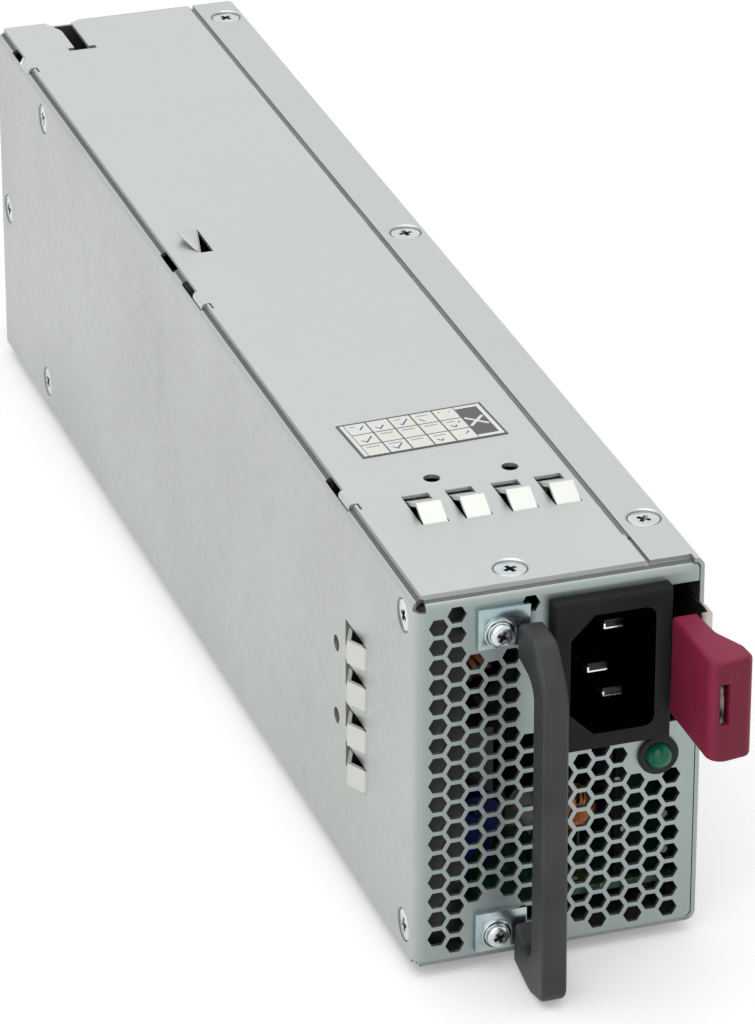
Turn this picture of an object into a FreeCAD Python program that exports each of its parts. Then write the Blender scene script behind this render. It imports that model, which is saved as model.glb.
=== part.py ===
"""Hot swap server power supply: a folded steel case with its inlet, handle, latch and inner parts.

Millimetres. +X is right as seen from the front, -Y is the front with the mains inlet, +Z is up.
The origin is the centre of the underside of the case.
"""
import FreeCAD, Part
import math
import operator
import os

import Sketcher

doc = FreeCAD.newDocument("HotSwapPowerSupply")

# ---------------------------------------------------------------- driving dimensions

SIZES = [
    # the folded case
    ("case_width", 55.2),           # outside, wall to wall
    ("case_height", 76.0),          # underside to the top of the cover
    ("case_length", 287.0),         # front panel to rear panel
    ("drawn_width", 55.2),          # case that the inner parts were laid out for
    ("drawn_length", 287.0),
    ("spread_x", "=case_width / drawn_width"),
    ("spread_y", "=case_length / drawn_length"),
    ("part_scale", "=min(spread_x; spread_y; 1)"),
    ("gauge", 0.8),                 # steel sheet
    ("bend_radius", 2.0),           # outside of a fold
    ("fit_gap", 0.2),               # between sheets that slide past each other
    ("margin", 1.0),                # how far a cut runs past what it cuts
    ("wall_flange", 6.0),           # fold along the top of the left wall
    ("front_flange", 12.0),         # fold along the top of the front panel
    ("floor_flange", 10.0),         # fold along the left edge of the floor
    ("cover_setback", 1.8),         # cover and strip start this far behind the front
    ("strip_width", 10.0),          # fold of the right wall over the top
    ("seam_gap", 0.8),              # slot between the cover and that strip
    ("seam_step", 1.0),             # run of the cover's step under the strip
    ("ear_depth", 10.0),            # upright ear of the floor flange behind the front panel
    ("ear_setback", 3.0),
    # fasteners
    ("screw_head", 3.0),            # radius of a countersunk head
    ("screw_shank", 1.5),           # radius
    ("countersink_radius", 3.6),    # at the surface
    ("countersink_depth", 1.5),
    ("head_drop", 0.3),             # a head sits this far under the surface
    ("shank_gap", 0.15),            # round a shank in a clearance hole
    ("top_screw_length", 1.9),      # shank past the countersink
    ("side_screw_length", 0.25),
    ("strip_screw_side", 4.9),      # row of screws from the right side
    ("strip_screw_front", 18.2),
    ("strip_screw_middle", 153.8),
    ("strip_screw_back", 8.8),
    ("cover_screw_side", 20.4),
    ("cover_screw_front", 7.2),
    ("flange_screw_height", 5.2),
    ("flange_screw_front", 6.9),
    ("ear_screw_drop", 6.6),
    ("ear_screw_front", 7.6),
    ("fan_side_low", 5.5),          # screws in front of the fan's bracket
    ("fan_side_high", 7.8),
    ("fan_side_drop", 6.9),
    ("back_screw_inset", 4.6),
    ("back_screw_drop", 3.5),       # under the middle of the wall
    # lanced spring fingers
    ("finger_depth", 28.0),         # start of the windows, from the front
    ("finger_length", 12.2),        # along the case
    ("finger_width", 4.7),
    ("finger_end_gap", 0.6),
    ("window_width", 5.3),
    ("finger_rise", 2.3),
    ("finger_run", 4.4),            # from the root to the crest
    ("finger_inner", 4.5),          # two fingers nearest the middle of their row, from the middle
    ("finger_outer", 12.95),        # outer two
    ("top_row", -1.2),              # middle of the row on the cover, across
    ("side_row", "=case_height / 2 - 1.2"),     # middle of the row on the left wall, height
    ("tooling_depth", 45.6),        # pair of round holes behind each row
    ("tooling_offset", 7.7),
    ("tooling_radius", 1.6),
    # honeycomb vents
    ("cell_size", 3.2),             # across the flats
    ("cell_pitch", 4.034),
    ("comb_left", 4.32),            # first column from the left side
    ("comb_top", 6.06),             # first row from the top
    ("comb_low", 1.6),              # no cell opens lower than this
    ("rear_cell_size", "=fan_size * part_scale * 0.088"),
    ("rear_cell_pitch", "=fan_size * part_scale * 0.106"),
    # hooks between the cover and the left wall, and slots in the fold under its edge
    ("hook_first", 37.5),
    ("hook_second", 130.5),
    ("hook_last", 27.0),            # from the rear
    ("hook_start", 2.6),            # relief slit in front of a lip
    ("hook_hole", 16.0),
    ("hook_lip", 6.0),
    ("hook_wrap", 0.95),            # a lip reaches this far past the cover's edge
    ("hook_dip", 0.7),
    ("slit_width", 0.45),
    ("fold_slot_start", 152.5),
    ("fold_slot_length", 9.0),
    ("fold_slot_side", 0.5),
    ("fold_slot_width", 2.1),
    ("cover_overhang", 1.6),        # cover edge from the left side
    # slots and label on the cover
    ("slot_side", 14.95),           # middle of the key slot from the left side
    ("slot_half", 1.65),
    ("slot_bar_half", 3.1),
    ("slot_mouth_half", 4.1),
    ("slot_depth", 15.8),
    ("slot_bar", 1.6),
    ("slot_flare", 5.4),
    ("slot_lead", 1.4),
    ("slot_corner", 5.0),
    ("mark_side", 7.7),             # lanced triangle
    ("mark_width", 2.7),
    ("mark_front", 157.0),
    ("mark_length", 11.4),
    ("label_side", 9.2),
    ("label_front", 57.4),
    ("label_width", 29.4),
    ("label_length", 14.5),
    ("label_gauge", 0.12),
    # handle
    ("handle_from_left", "=case_width * 0.3777"),   # middle of the bar from the left side
    ("handle_width", 4.9),
    ("handle_root", 3.0),           # moulding starts this far in front of the panel
    ("handle_reach", 18.4),
    ("handle_bar", 7.1),            # thickness of the bar, front to back
    ("handle_top", "=case_height - 6.3"),
    ("handle_drop", 2.6),           # lowest point under the case
    ("handle_arm", 7.0),            # height of an arm
    ("handle_slope", 6.6),          # the top corner is cut off over this reach
    ("handle_slope_drop", 7.7),
    ("handle_lower_run", 11.0),
    ("handle_inner_run", 6.8),
    ("handle_edge", 0.9),
    ("handle_corner", 8.0),
    # handle brackets
    ("bracket_gauge", 1.2),
    ("bracket_width", 10.0),
    ("bracket_height", 8.0),
    ("bracket_top", "=case_height - 3.4"),
    ("bracket_foot", 1.6),
    ("tongue_reach", 11.0),
    ("tongue_height", 3.0),
    ("washer_head", 2.9),
    ("washer_head_height", 1.9),
    ("panel_screw_length", 3.2),
    ("bracket_screw_side", 1.0),    # screws from the middle of their plates
    ("upper_screw_drop", 0.9),
    ("lower_screw_drop", 0.5),
    # mains inlet
    ("inlet_from_right", 18.4),     # middle of the socket from the right side
    ("inlet_height", "=case_height - 19.2"),
    ("bezel_width", 23.0),
    ("bezel_height", 31.0),
    ("bezel_depth", 2.75),
    ("bezel_edge", 0.7),
    ("socket_width", 16.3),
    ("socket_height", 24.3),
    ("socket_depth", 16.0),
    ("socket_corner", 4.6),
    ("inlet_wall", 1.75),
    ("inlet_back", 20.0),
    ("pin_wide", 4.0),
    ("pin_thick", 2.0),
    ("pin_pitch", 14.0),
    ("pin_step", 4.0),              # earth pin to the line of the other two
    ("pin_setback", 2.5),           # tips of the other two behind the front
    ("pin_tail", 5.0),
    ("inlet_board_width", 19.0),
    ("inlet_board_height", 28.0),
    ("inlet_board_gap", 2.0),
    # lamp
    ("led_from_right", 8.3),
    ("led_height", "=case_height - 39.25"),
    ("led_radius", 2.5),
    ("led_out", 0.6),
    ("led_length", 8.0),
    ("clip_radius", 3.9),
    ("clip_rim", 0.9),
    ("clip_barrel", 3.2),
    ("clip_reach", 5.0),
    ("lamp_board_side", 5.3),
    ("lamp_board_front", 7.4),
    ("lamp_board_rise", 4.2),
    ("lamp_board_gap", 1.2),
    # latch
    ("arm_gauge", 0.7),
    ("arm_gap", 0.25),              # leaf to the right wall
    ("arm_low", "=case_height - 27"),
    ("arm_high", "=case_height - 8.6"),
    ("arm_pivot", 64.0),            # rivets, from the front
    ("arm_tail", 4.0),              # leaf behind the rivets
    ("arm_flare", 0.55),            # the leaf steps outwards once it is clear of the wall
    ("flare_start", 0.6),
    ("flare_end", 2.4),
    ("jog_depth", 5.6),             # the leaf turns towards the lever this far out
    ("tongue_gap", 0.1),            # tongue in the lever's slot
    ("tongue_tip", 0.9),
    ("slit_gap", 0.15),
    ("lever_from_right", 7.5),      # flat side of the lever from the right side
    ("lever_low", "=case_height - 29.5"),
    ("lever_high", "=case_height - 9"),
    ("lever_root", 3.7),
    ("lever_tip", 23.9),
    ("lever_root_width", 4.8),
    ("lever_tip_width", 8.5),
    ("lever_tip_slope", 1.3),
    ("lever_tip_run", 6.0),
    ("lever_waist_run", 7.9),
    ("lever_edge", 0.9),
    ("lever_slot_low", "=case_height - 21.8"),
    ("lever_slot_high", "=case_height - 13.5"),
    ("lever_slot_width", 1.8),
    ("lever_slot_side", 1.7),       # slot from the flat side
    ("latch_opening_low", "=case_height - 33"),
    ("latch_opening_high", "=case_height - 4.7"),
    ("latch_opening_width", 5.8),
    ("catch_front", 14.0),
    ("catch_run", 11.0),
    ("catch_reach", 2.0),           # past the right wall
    ("catch_low", "=case_height - 23"),
    ("catch_high", "=case_height - 14"),
    ("catch_gap", 1.5),             # opening round the catch, along the case
    ("catch_side_gap", 0.8),
    ("rivet_radius", 1.4),
    ("rivet_head", 2.6),
    ("rivet_inner_height", 0.9),
    ("rivet_outer_height", 0.7),
    ("rivet_spacing", 9.0),
    # boards
    ("standoff_height", 5.0),
    ("standoff_radius", 2.6),
    ("standoff_inset", 3.2),        # from the edge of the board
    ("standoff_front", 14.0),
    ("standoff_middle", 160.0),
    ("standoff_back", 268.0),
    ("bore_floor", 1.0),
    ("thread_end", 0.5),
    ("thread_gap", 0.1),
    ("pan_head", 2.8),
    ("pan_head_height", 1.8),
    ("board_gauge", 1.6),
    ("board_side", 2.4),            # board edge from the outside of the case
    ("board_front", 6.0),
    ("board_setback", 2.0),
    ("tongue_width", 43.0),
    ("tongue_out", 11.0),           # card edge past the rear panel
    ("tongue_slot_gap", 1.0),
    ("contact_length", 8.5),
    ("contact_gauge", 0.1),
    ("contact_inset", 0.8),
    ("power_contact", 4.6),         # width
    ("power_contact_outer", 18.4),
    ("power_contact_inner", 13.0),
    ("signal_contact", 1.2),
    ("signal_pitch", 2.0),
    ("sheet_gauge", 0.4),           # insulating sheet
    ("sheet_gap", 0.3),
    ("sheet_back", 4.0),
    ("insulator_front", 4.6),
    ("insulator_return", 9.0),
    ("insulator_gap", 3.0),
    # fan
    ("fan_size", 50.0),
    ("fan_depth", 15.0),
    ("fan_front", 243.0),
    ("fan_height", "=case_height - 29"),        # axis above the underside
    ("fan_rim", 1.6),               # frame outside the duct
    ("fan_inset", 10.0),            # two holes' distance from the frame's sides together
    ("fan_hole_radius", 2.1),
    ("fan_screw_head", 2.7),
    ("fan_screw_length", 9.0),
    ("fan_flange", 12.0),           # side flanges of the bracket
    ("hub_radius", 12.0),
    ("hub_plate", 3.0),
    ("strut_thick", 2.0),
    ("strut_width", 2.4),
    ("strut_root", 0.5),
    ("axle_radius", 1.5),
    ("axle_gap", 0.06),
    ("blade_gap", 0.8),
    ("blade_inset", 0.4),
    ("blade_thick", 1.0),
    ("blade_share", 0.86),          # chord that is left of the full slant
    ("root_pitch", 48.0),           # degrees
    ("tip_pitch", 30.0),
    ("rear_flange", 10.0),          # side flanges of the rear panel
    # parts behind the front vent
    ("lead", 0.8),
    ("fuse_across", 4.0),
    ("fuse_front", 14.0),
    ("fuse_length", 20.0),
    ("fuse_radius", 2.6),
    ("fuse_lift", 6.0),
    ("clip_wall", 0.4),
    ("clip_length", 3.0),
    ("disc_radius", 5.2),
    ("disc_thick", 3.6),
    ("disc_lift", 11.0),
    ("disc_outer", -15.2),
    ("disc_outer_front", 12.0),
    ("disc_inner", -9.6),
    ("disc_inner_front", 17.0),
    ("film_across", -14.0),
    ("film_front", 24.0),
    ("film_thick", 10.0),
    ("film_length", 16.0),
    ("film_height", 26.5),
    ("filter_can_side", 7.0),
    ("filter_can_depth", 24.0),
    ("small_can_radius", 5.0),
    ("small_can_height", 23.0),
    ("wire_build", 2.2),            # thickness of a wound layer
    ("winding_gap", 6.0),
    ("choke_across", -4.0),
    ("choke_front", 50.0),
    ("choke_lift", 33.6),           # axis above the board
    ("choke_radius", 12.5),         # ferrite ring of the mains filter
    ("choke_bore", 7.0),
    ("choke_thick", 10.0),
    ("cradle_drop", 6.0),
    ("cradle_wall", 4.0),
    ("cradle_floor", 1.5),
    ("cradle_window", 7.5),
    # power parts on the board
    ("sink_gauge", 3.0),            # heatsink plate
    ("fin_reach", 4.5),
    ("fin_gauge", 1.2),
    ("fin_start", 6.0),
    ("fin_pitch", 7.0),
    ("package_lift", 8.0),
    ("package_thick", 4.6),
    ("package_height", 20.0),
    ("primary_sink_across", 16.5),
    ("primary_sink_front", 72.0),
    ("primary_sink_length", 80.0),
    ("primary_sink_height", 54.0),
    ("bridge_start", 4.0),
    ("bridge_length", 30.0),
    ("switch_start", 40.0),
    ("switch_pitch", 21.0),
    ("switch_length", 15.8),
    ("boost_radius", 14.0),
    ("boost_thick", 11.0),
    ("boost_across", -18.0),
    ("boost_depth", 86.0),
    ("can_radius", 14.0),
    ("can_height", 50.0),
    ("can_across", -8.0),
    ("can_depth", 119.0),
    ("can_pitch", 30.0),
    ("core_across", -2.0),
    ("core_front", 188.0),
    ("core_width", 38.0),
    ("core_height", 36.0),
    ("core_thick", 14.0),
    ("core_leg", 10.0),
    ("core_yoke", 6.0),
    ("bobbin_gap", 0.2),
    ("secondary_sink_across", 19.0),
    ("secondary_sink_front", 168.0),
    ("secondary_sink_length", 68.0),
    ("secondary_sink_height", 46.0),
    ("rectifier_start", 38.0),
    ("rectifier_pitch", 12.5),
    ("rectifier_length", 10.2),
    ("rectifier_height", 15.5),
    ("output_choke_across", 1.5),
    ("output_choke_depth", 226.0),
    ("output_choke_radius", 9.0),
    ("output_can_across", -15.5),
    ("output_can_depth", 215.5),
    ("output_can_pitch", 10.5),
    ("card_across", -24.6),
    ("card_gauge", 1.2),
    ("card_front", 168.0),
    ("card_length", 64.0),
    ("card_height", 40.0),
    ("chip_size", 7.0),
    ("chip_thick", 1.4),
    ("chip_first", 4.0),
    ("chip_second", 18.0),
    ("chip_third", 36.0),
    ("chip_low", 8.0),
    ("chip_high", 24.0),
    ("busbar_width", 10.0),
    ("busbar_thick", 3.0),
    ("busbar_end", 5.0),
]


class Size:
    """A size that knows its number and the sheet formula that gives it."""

    def __init__(self, value, formula):
        self.value = value
        self.formula = formula

    def __add__(self, other):
        return joined(self, "+", other)

    def __radd__(self, other):
        return joined(other, "+", self)

    def __sub__(self, other):
        return joined(self, "-", other)

    def __rsub__(self, other):
        return joined(other, "-", self)

    def __mul__(self, other):
        return joined(self, "*", other)

    def __rmul__(self, other):
        return joined(other, "*", self)

    def __truediv__(self, other):
        return joined(self, "/", other)

    def __neg__(self):
        return joined(0.0, "-", self)


ARITHMETIC = {"+": operator.add, "-": operator.sub, "*": operator.mul, "/": operator.truediv}


def number(size):
    return size.value if isinstance(size, Size) else float(size)


def formula(size):
    return size.formula if isinstance(size, Size) else repr(float(size))


def joined(one, sign, two):
    value = ARITHMETIC[sign](number(one), number(two))
    return Size(value, "(%s %s %s)" % (formula(one), sign, formula(two)))


class Sizes:
    """The spreadsheet, with each of its cells as an attribute."""

    def __init__(self, table):
        sheet = doc.addObject("Spreadsheet::Sheet", "Sizes")
        for row, (alias, content) in enumerate(table, start=1):
            sheet.set("A%d" % row, alias)
            sheet.set("B%d" % row, str(content))
            sheet.setAlias("B%d" % row, alias)
        doc.recompute()
        for alias, content in table:
            setattr(self, alias, Size(float(sheet.get(alias)), "Sizes." + alias))


mm = Sizes(SIZES)

left = -mm.case_width / 2
right = mm.case_width / 2
front = -mm.case_length / 2
back = mm.case_length / 2
top = mm.case_height
fold_top = top - mm.gauge           # top of the folds that carry the cover
flange_top = fold_top - mm.bend_radius
board_top = mm.gauge + mm.standoff_height + mm.board_gauge
board_edge = mm.case_width / 2 - mm.board_side
COS30 = math.cos(math.radians(30))


# ---------------------------------------------------------------- modelling helpers

def bind(thing, field, size):
    """Set a property from the sheet."""
    thing.setExpression(field, formula(size))


TURNS = {
    "+z": FreeCAD.Rotation(),
    "-z": FreeCAD.Rotation(FreeCAD.Vector(1, 0, 0), 180),
    "+x": FreeCAD.Rotation(FreeCAD.Vector(0, 1, 0), 90),
    "-x": FreeCAD.Rotation(FreeCAD.Vector(0, 1, 0), -90),
    "+y": FreeCAD.Rotation(FreeCAD.Vector(1, 0, 0), -90),
    "-y": FreeCAD.Rotation(FreeCAD.Vector(1, 0, 0), 90),
}


def place(thing, base, turn=FreeCAD.Rotation()):
    """Stand a primitive at a point, turned."""
    corner = FreeCAD.Vector(*[number(size) for size in base])
    thing.Placement = FreeCAD.Placement(corner, turn)
    for axis, size in zip("xyz", base):
        bind(thing, "Placement.Base." + axis, size)
    return thing


def box(x, y, z, turn=FreeCAD.Rotation()):
    """A box between pairs of low and high limits."""
    solid = doc.addObject("Part::Box", "Box")
    for field, (low, high) in zip(("Length", "Width", "Height"), (x, y, z)):
        bind(solid, field, high - low)
    return place(solid, (x[0], y[0], z[0]), turn)


def rod(way, base, radius, length):
    """A cylinder that starts at base and runs the given way."""
    solid = doc.addObject("Part::Cylinder", "Rod")
    bind(solid, "Radius", radius)
    bind(solid, "Height", length)
    return place(solid, base, TURNS[way])


def taper(way, base, radius, end_radius, length):
    """A cone that starts at base and runs the given way."""
    solid = doc.addObject("Part::Cone", "Taper")
    bind(solid, "Radius1", radius)
    bind(solid, "Radius2", end_radius)
    bind(solid, "Height", length)
    return place(solid, base, TURNS[way])


def fused(solids):
    whole = doc.addObject("Part::MultiFuse", "Fusion")
    whole.Shapes = solids
    return whole


def gathered(solids):
    """Separate solids kept in one object."""
    group = doc.addObject("Part::Compound", "Group")
    group.Links = solids
    return group


def without(base, tools):
    """The base with the tools cut away."""
    result = doc.addObject("Part::Cut", "Cut")
    result.Base = base
    result.Tool = tools[0] if len(tools) == 1 else fused(tools)
    return result


PLANES = {"XY": ("XY_Plane", 1), "XZ": ("XZ_Plane", -1), "YZ": ("YZ_Plane", 1)}


def sketch_on(body, plane, level):
    """A sketch on one of the body's own planes, moved along its normal to a level of the part."""
    role, sign = PLANES[plane]
    sketch = body.newObject("Sketcher::SketchObject", "Sketch")
    planes = [item for item in body.Origin.OriginFeatures if item.Role == role]
    sketch.AttachmentSupport = [(planes[0], "")]
    sketch.MapMode = "FlatFace"
    bind(sketch, "AttachmentOffset.Base.z", sign * level)
    return sketch


def pin_down(sketch, kind, line, size):
    """Hold the start of a line at a distance from the sketch's origin."""
    index = sketch.addConstraint(Sketcher.Constraint(kind, -1, 1, line, 1, number(size)))
    bind(sketch, "Constraints[%d]" % index, size)


def draw(sketch, corners):
    """Draw a closed outline, each corner held by the sheet."""
    first = sketch.GeometryCount
    points = [FreeCAD.Vector(number(across), number(up), 0) for across, up in corners]
    count = len(corners)
    for index in range(count):
        sketch.addGeometry(Part.LineSegment(points[index], points[(index + 1) % count]))
    for index in range(count):
        after = first + (index + 1) % count
        sketch.addConstraint(Sketcher.Constraint("Coincident", first + index, 2, after, 1))
    for index, (across, up) in enumerate(corners):
        pin_down(sketch, "DistanceX", first + index, across)
        pin_down(sketch, "DistanceY", first + index, up)


def rectangle(across, up):
    return [(across[0], up[0]), (across[1], up[0]), (across[1], up[1]), (across[0], up[1])]


def new_body():
    return doc.addObject("PartDesign::Body", "Body")


def pad(body, plane, corners, level):
    """Add material over an outline between two levels of the plane's axis."""
    low, high = level
    sketch = sketch_on(body, plane, high if PLANES[plane][1] < 0 else low)
    draw(sketch, corners)
    feature = body.newObject("PartDesign::Pad", "Pad")
    feature.Profile = sketch
    bind(feature, "Length", high - low)
    doc.recompute()
    return body


def pocket(body, plane, corners, level):
    """Take material away over an outline between two levels of the plane's axis."""
    low, high = level
    before = body.Shape.Volume
    sketch = sketch_on(body, plane, low if PLANES[plane][1] < 0 else high)
    draw(sketch, corners)
    feature = body.newObject("PartDesign::Pocket", "Pocket")
    feature.Profile = sketch
    bind(feature, "Length", high - low)
    doc.recompute()
    if body.Shape.Volume >= before:
        raise RuntimeError("a pocket cut nothing from " + body.Label)
    return body


def edges_along(shape, axis, corners):
    """Names of the straight edges parallel to an axis that pass through the given corners."""
    across = [name for name in "xyz" if name != axis]
    found = []
    for count, edge in enumerate(shape.Edges, start=1):
        ends = [edge.firstVertex().Point, edge.lastVertex().Point]
        for corner in corners:
            close = [abs(getattr(end, name) - number(size)) < 0.001
                     for end in ends for name, size in zip(across, corner)]
            if all(close):
                found.append("Edge%d" % count)
    return found


def face_edges(shape, axis, level):
    """Names of the edges that lie in the plane at a level of an axis."""
    found = []
    for count, edge in enumerate(shape.Edges, start=1):
        box_of_edge = edge.BoundBox
        low = getattr(box_of_edge, axis.upper() + "Min")
        high = getattr(box_of_edge, axis.upper() + "Max")
        if abs(low - number(level)) < 0.001 and abs(high - number(level)) < 0.001:
            found.append("Edge%d" % count)
    return found


def on_plane(shape, name, axis, level):
    """Whether an edge lies in the plane at a level of an axis."""
    return name in face_edges(shape, axis, level)


def rounded(body, edges, radius):
    base = body.Tip
    feature = body.newObject("PartDesign::Fillet", "Fillet")
    feature.Base = (base, edges)
    bind(feature, "Radius", radius)
    doc.recompute()
    if not edges or "Invalid" in feature.State:
        raise RuntimeError("no fillet of %.2f on %d edges" % (number(radius), len(edges)))
    return body


def fold(body, axis, outer, inner):
    """Round a fold of the sheet on its outer and its inner corner."""
    rounded(body, edges_along(body.Shape, axis, [outer]), mm.bend_radius)
    rounded(body, edges_along(body.Shape, axis, [inner]), mm.bend_radius - mm.gauge)
    return body


NODES = {}


def node(name, thing):
    """Name a finished sub-part."""
    thing.Label = name
    NODES[name] = thing
    return thing


# ---------------------------------------------------------------- fasteners and shared places

def depth(distance):
    """A place at a distance behind the front face."""
    return front + distance


def across(distance):
    """A place to the side of the middle, which spreads with the width of the case."""
    return distance * mm.spread_x


def along(distance):
    """A place behind the front face, which spreads with the length of the case."""
    return front + distance * mm.spread_y


def fitted(size):
    """A size of an inner part, which is smaller in a smaller case."""
    return size * mm.part_scale


INWARD = {"+z": "-z", "-x": "+x"}


def screw(way, surface_point, shank_length):
    """Countersunk screw whose head lies just under the surface at the point, facing the way."""
    inward = INWARD[way]
    head = moved(surface_point, inward, mm.head_drop)
    neck = moved(surface_point, inward, mm.countersink_depth)
    return fused([taper(inward, head, mm.screw_head, mm.screw_shank,
                        mm.countersink_depth - mm.head_drop),
                  rod(inward, neck, mm.screw_shank, shank_length)])


def moved(point, way, distance):
    """A point moved a distance along one axis."""
    axis = "xyz".index(way[1])
    shifted = list(point)
    shifted[axis] = shifted[axis] + (distance if way[0] == "+" else -distance)
    return tuple(shifted)


def countersink(way, surface_point):
    """The hole that such a screw passes through."""
    against = INWARD[way]
    bore = mm.screw_shank + mm.shank_gap
    return fused([taper(against, surface_point, mm.countersink_radius, bore,
                        mm.countersink_depth),
                  rod(against, surface_point, bore, mm.countersink_depth + 3 * mm.margin)])


fan_start = along(mm.fan_front)
fan_end = fan_start + fitted(mm.fan_depth)
duct_radius = fitted(mm.fan_size / 2 - mm.fan_rim)
strip_x = right - mm.strip_screw_side
STRIP_SCREWS = [(strip_x, y, top) for y in
                (depth(mm.strip_screw_front), depth(mm.strip_screw_middle),
                 back - mm.strip_screw_back)]
COVER_SCREW = (left + mm.cover_screw_side, depth(mm.cover_screw_front), top)
FLANGE_SCREWS = [(left, depth(mm.flange_screw_front), mm.flange_screw_height),
                 (left, depth(mm.ear_screw_front), top - mm.ear_screw_drop),
                 (left, fan_end - mm.fan_side_low, mm.flange_screw_height)]
FAN_SIDE_SCREW = (left, fan_end - mm.fan_side_high, top - mm.fan_side_drop)
BACK_SIDE_SCREW = (left, back - mm.back_screw_inset, mm.case_height / 2 - mm.back_screw_drop)
SIDE_SCREWS = FLANGE_SCREWS + [FAN_SIDE_SCREW, BACK_SIDE_SCREW]
HOOKS = [depth(mm.hook_first), depth(mm.hook_second), back - mm.hook_last]


# ---------------------------------------------------------------- vents

def hexagons(columns, pitch, spread, cell, corner, level):
    """Hexagonal prisms through a plate, flat sides up and down, column by column.

    A column is its number and its first and last row; half rows step a column down by half a
    pitch. Cells that would open too close to the floor are left out.
    """
    radius = number(cell) / 2 / COS30
    low, high = [number(size) for size in level]
    prisms = []
    for column, first, last in columns:
        x = number(corner[0]) + column * number(pitch * spread) * COS30
        for step in range(int(last - first) + 1):
            z = number(corner[1]) - (first + step) * number(pitch)
            if z - number(cell) / 2 < number(mm.comb_low):
                continue
            outline = [FreeCAD.Vector(x + radius * math.cos(math.radians(60 * turn)), low,
                                      z + radius * math.sin(math.radians(60 * turn)))
                       for turn in range(7)]
            face = Part.Face(Part.makePolygon(outline))
            prisms.append(face.extrude(FreeCAD.Vector(0, high - low, 0)))
    vents = doc.addObject("Part::Feature", "Vents")
    vents.Shape = Part.makeCompound(prisms)
    return vents


FRONT_COLUMNS = [(0, 0, 16), (1, -0.5, 16.5), (2, 2, 14), (3, 2.5, 13.5), (4, 2, 14),
                 (5, -0.5, -0.5), (5, 6.5, 15.5), (6, 9, 15), (7, 8.5, 15.5), (8, 9, 16),
                 (9, 8.5, 16.5), (10, 9, 16), (11, 9.5, 16.5), (12, 10, 16), (13, 9.5, 16.5)]
REAR_COLUMNS = [(column, column % 2 / 2, 7 + column % 2 / 2) for column in range(10)]


# ---------------------------------------------------------------- the case

inlet_x = right - mm.inlet_from_right
inlet_z = mm.inlet_height
led_x = right - mm.led_from_right
led_z = mm.led_height
handle_x = left + mm.handle_from_left
bracket_right = handle_x + mm.bracket_gauge / 2
bracket_x = (bracket_right - mm.bracket_width, bracket_right)
plate_screw_x = bracket_right - mm.bracket_width / 2 - mm.bracket_screw_side
bracket_lows = (mm.bracket_top - mm.bracket_height, mm.bracket_foot)
UPPER_SCREW = (plate_screw_x, mm.bracket_top - mm.bracket_height / 2 - mm.upper_screw_drop)
LOWER_SCREW = (plate_screw_x, mm.bracket_foot + mm.bracket_height / 2 - mm.lower_screw_drop)
HANDLE_SCREWS = [UPPER_SCREW, LOWER_SCREW]
wall_inside = right - mm.gauge
opening_x = (wall_inside + mm.fit_gap - mm.latch_opening_width, wall_inside + mm.fit_gap)


def finger_profile(surface, out):
    """Side profile of a lanced finger: root at the front, crest, tail inside the window."""
    root = depth(mm.finger_depth)
    crest = root + mm.finger_run
    tail = root + mm.finger_length - mm.finger_end_gap
    over = [(root, surface), (crest, surface + out * mm.finger_rise),
            (tail, surface - out * mm.gauge)]
    under = [(tail, surface - out * mm.gauge * 2),
             (crest, surface + out * (mm.finger_rise - mm.gauge)),
             (root, surface - out * mm.gauge)]
    return over + under


def finger_offsets():
    return (-mm.finger_outer, -mm.finger_inner, mm.finger_inner, mm.finger_outer)


TOP_FINGERS = [across(mm.top_row + offset) for offset in finger_offsets()]
SIDE_FINGERS = [mm.side_row + offset for offset in finger_offsets()]
window_run = (depth(mm.finger_depth), depth(mm.finger_depth + mm.finger_length))


def side_windows():
    """Windows and tooling holes in the left wall."""
    start = left - mm.margin
    windows = [box((start, left + mm.gauge + mm.margin), window_run,
                   (z - mm.window_width / 2, z + mm.window_width / 2)) for z in SIDE_FINGERS]
    holes = [rod("+x", (start, depth(mm.tooling_depth), mm.side_row + offset),
                 mm.tooling_radius, mm.gauge + 2 * mm.margin)
             for offset in (-mm.tooling_offset, mm.tooling_offset)]
    return windows + holes


def top_windows():
    """Windows and tooling holes in the cover."""
    windows = [box((x - mm.window_width / 2, x + mm.window_width / 2), window_run,
                   (fold_top - mm.margin, top + mm.margin)) for x in TOP_FINGERS]
    holes = [rod("-z", (across(mm.top_row) + offset, depth(mm.tooling_depth), top + mm.margin),
                 mm.tooling_radius, mm.gauge + 2 * mm.margin)
             for offset in (-mm.tooling_offset, mm.tooling_offset)]
    return windows + holes


def fold_slots():
    """Slots in the fold of the left wall: one behind each lip of the cover and one alone."""
    runs = [(hook + mm.hook_start, hook + mm.hook_hole) for hook in HOOKS]
    alone = depth(mm.fold_slot_start)
    runs.append((alone, alone + mm.fold_slot_length))
    start = left + mm.fold_slot_side
    return [box((start, start + mm.fold_slot_width), run,
                (flange_top - mm.margin, fold_top + mm.margin)) for run in runs]


def panel_bore(x, z, radius):
    """A round hole through the front panel."""
    return rod("+y", (x, front - mm.margin, z), radius, mm.gauge + 2 * mm.margin)


def corner_trim(up, level):
    """What rounds a right corner of the front panel to clear the fold beside it."""
    radius = mm.bend_radius - mm.gauge + mm.fit_gap
    edge = wall_inside - mm.fit_gap
    middle = level - up * radius
    limits = (middle, level + mm.margin) if up > 0 else (level - mm.margin, middle)
    block = box((edge - radius, edge + mm.margin),
                (front - mm.margin, depth(mm.front_flange + mm.margin)), limits)
    round_part = rod("+y", (edge - radius, front - 2 * mm.margin, middle), radius,
                     mm.front_flange + 4 * mm.margin)
    return without(block, [round_part])


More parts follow.
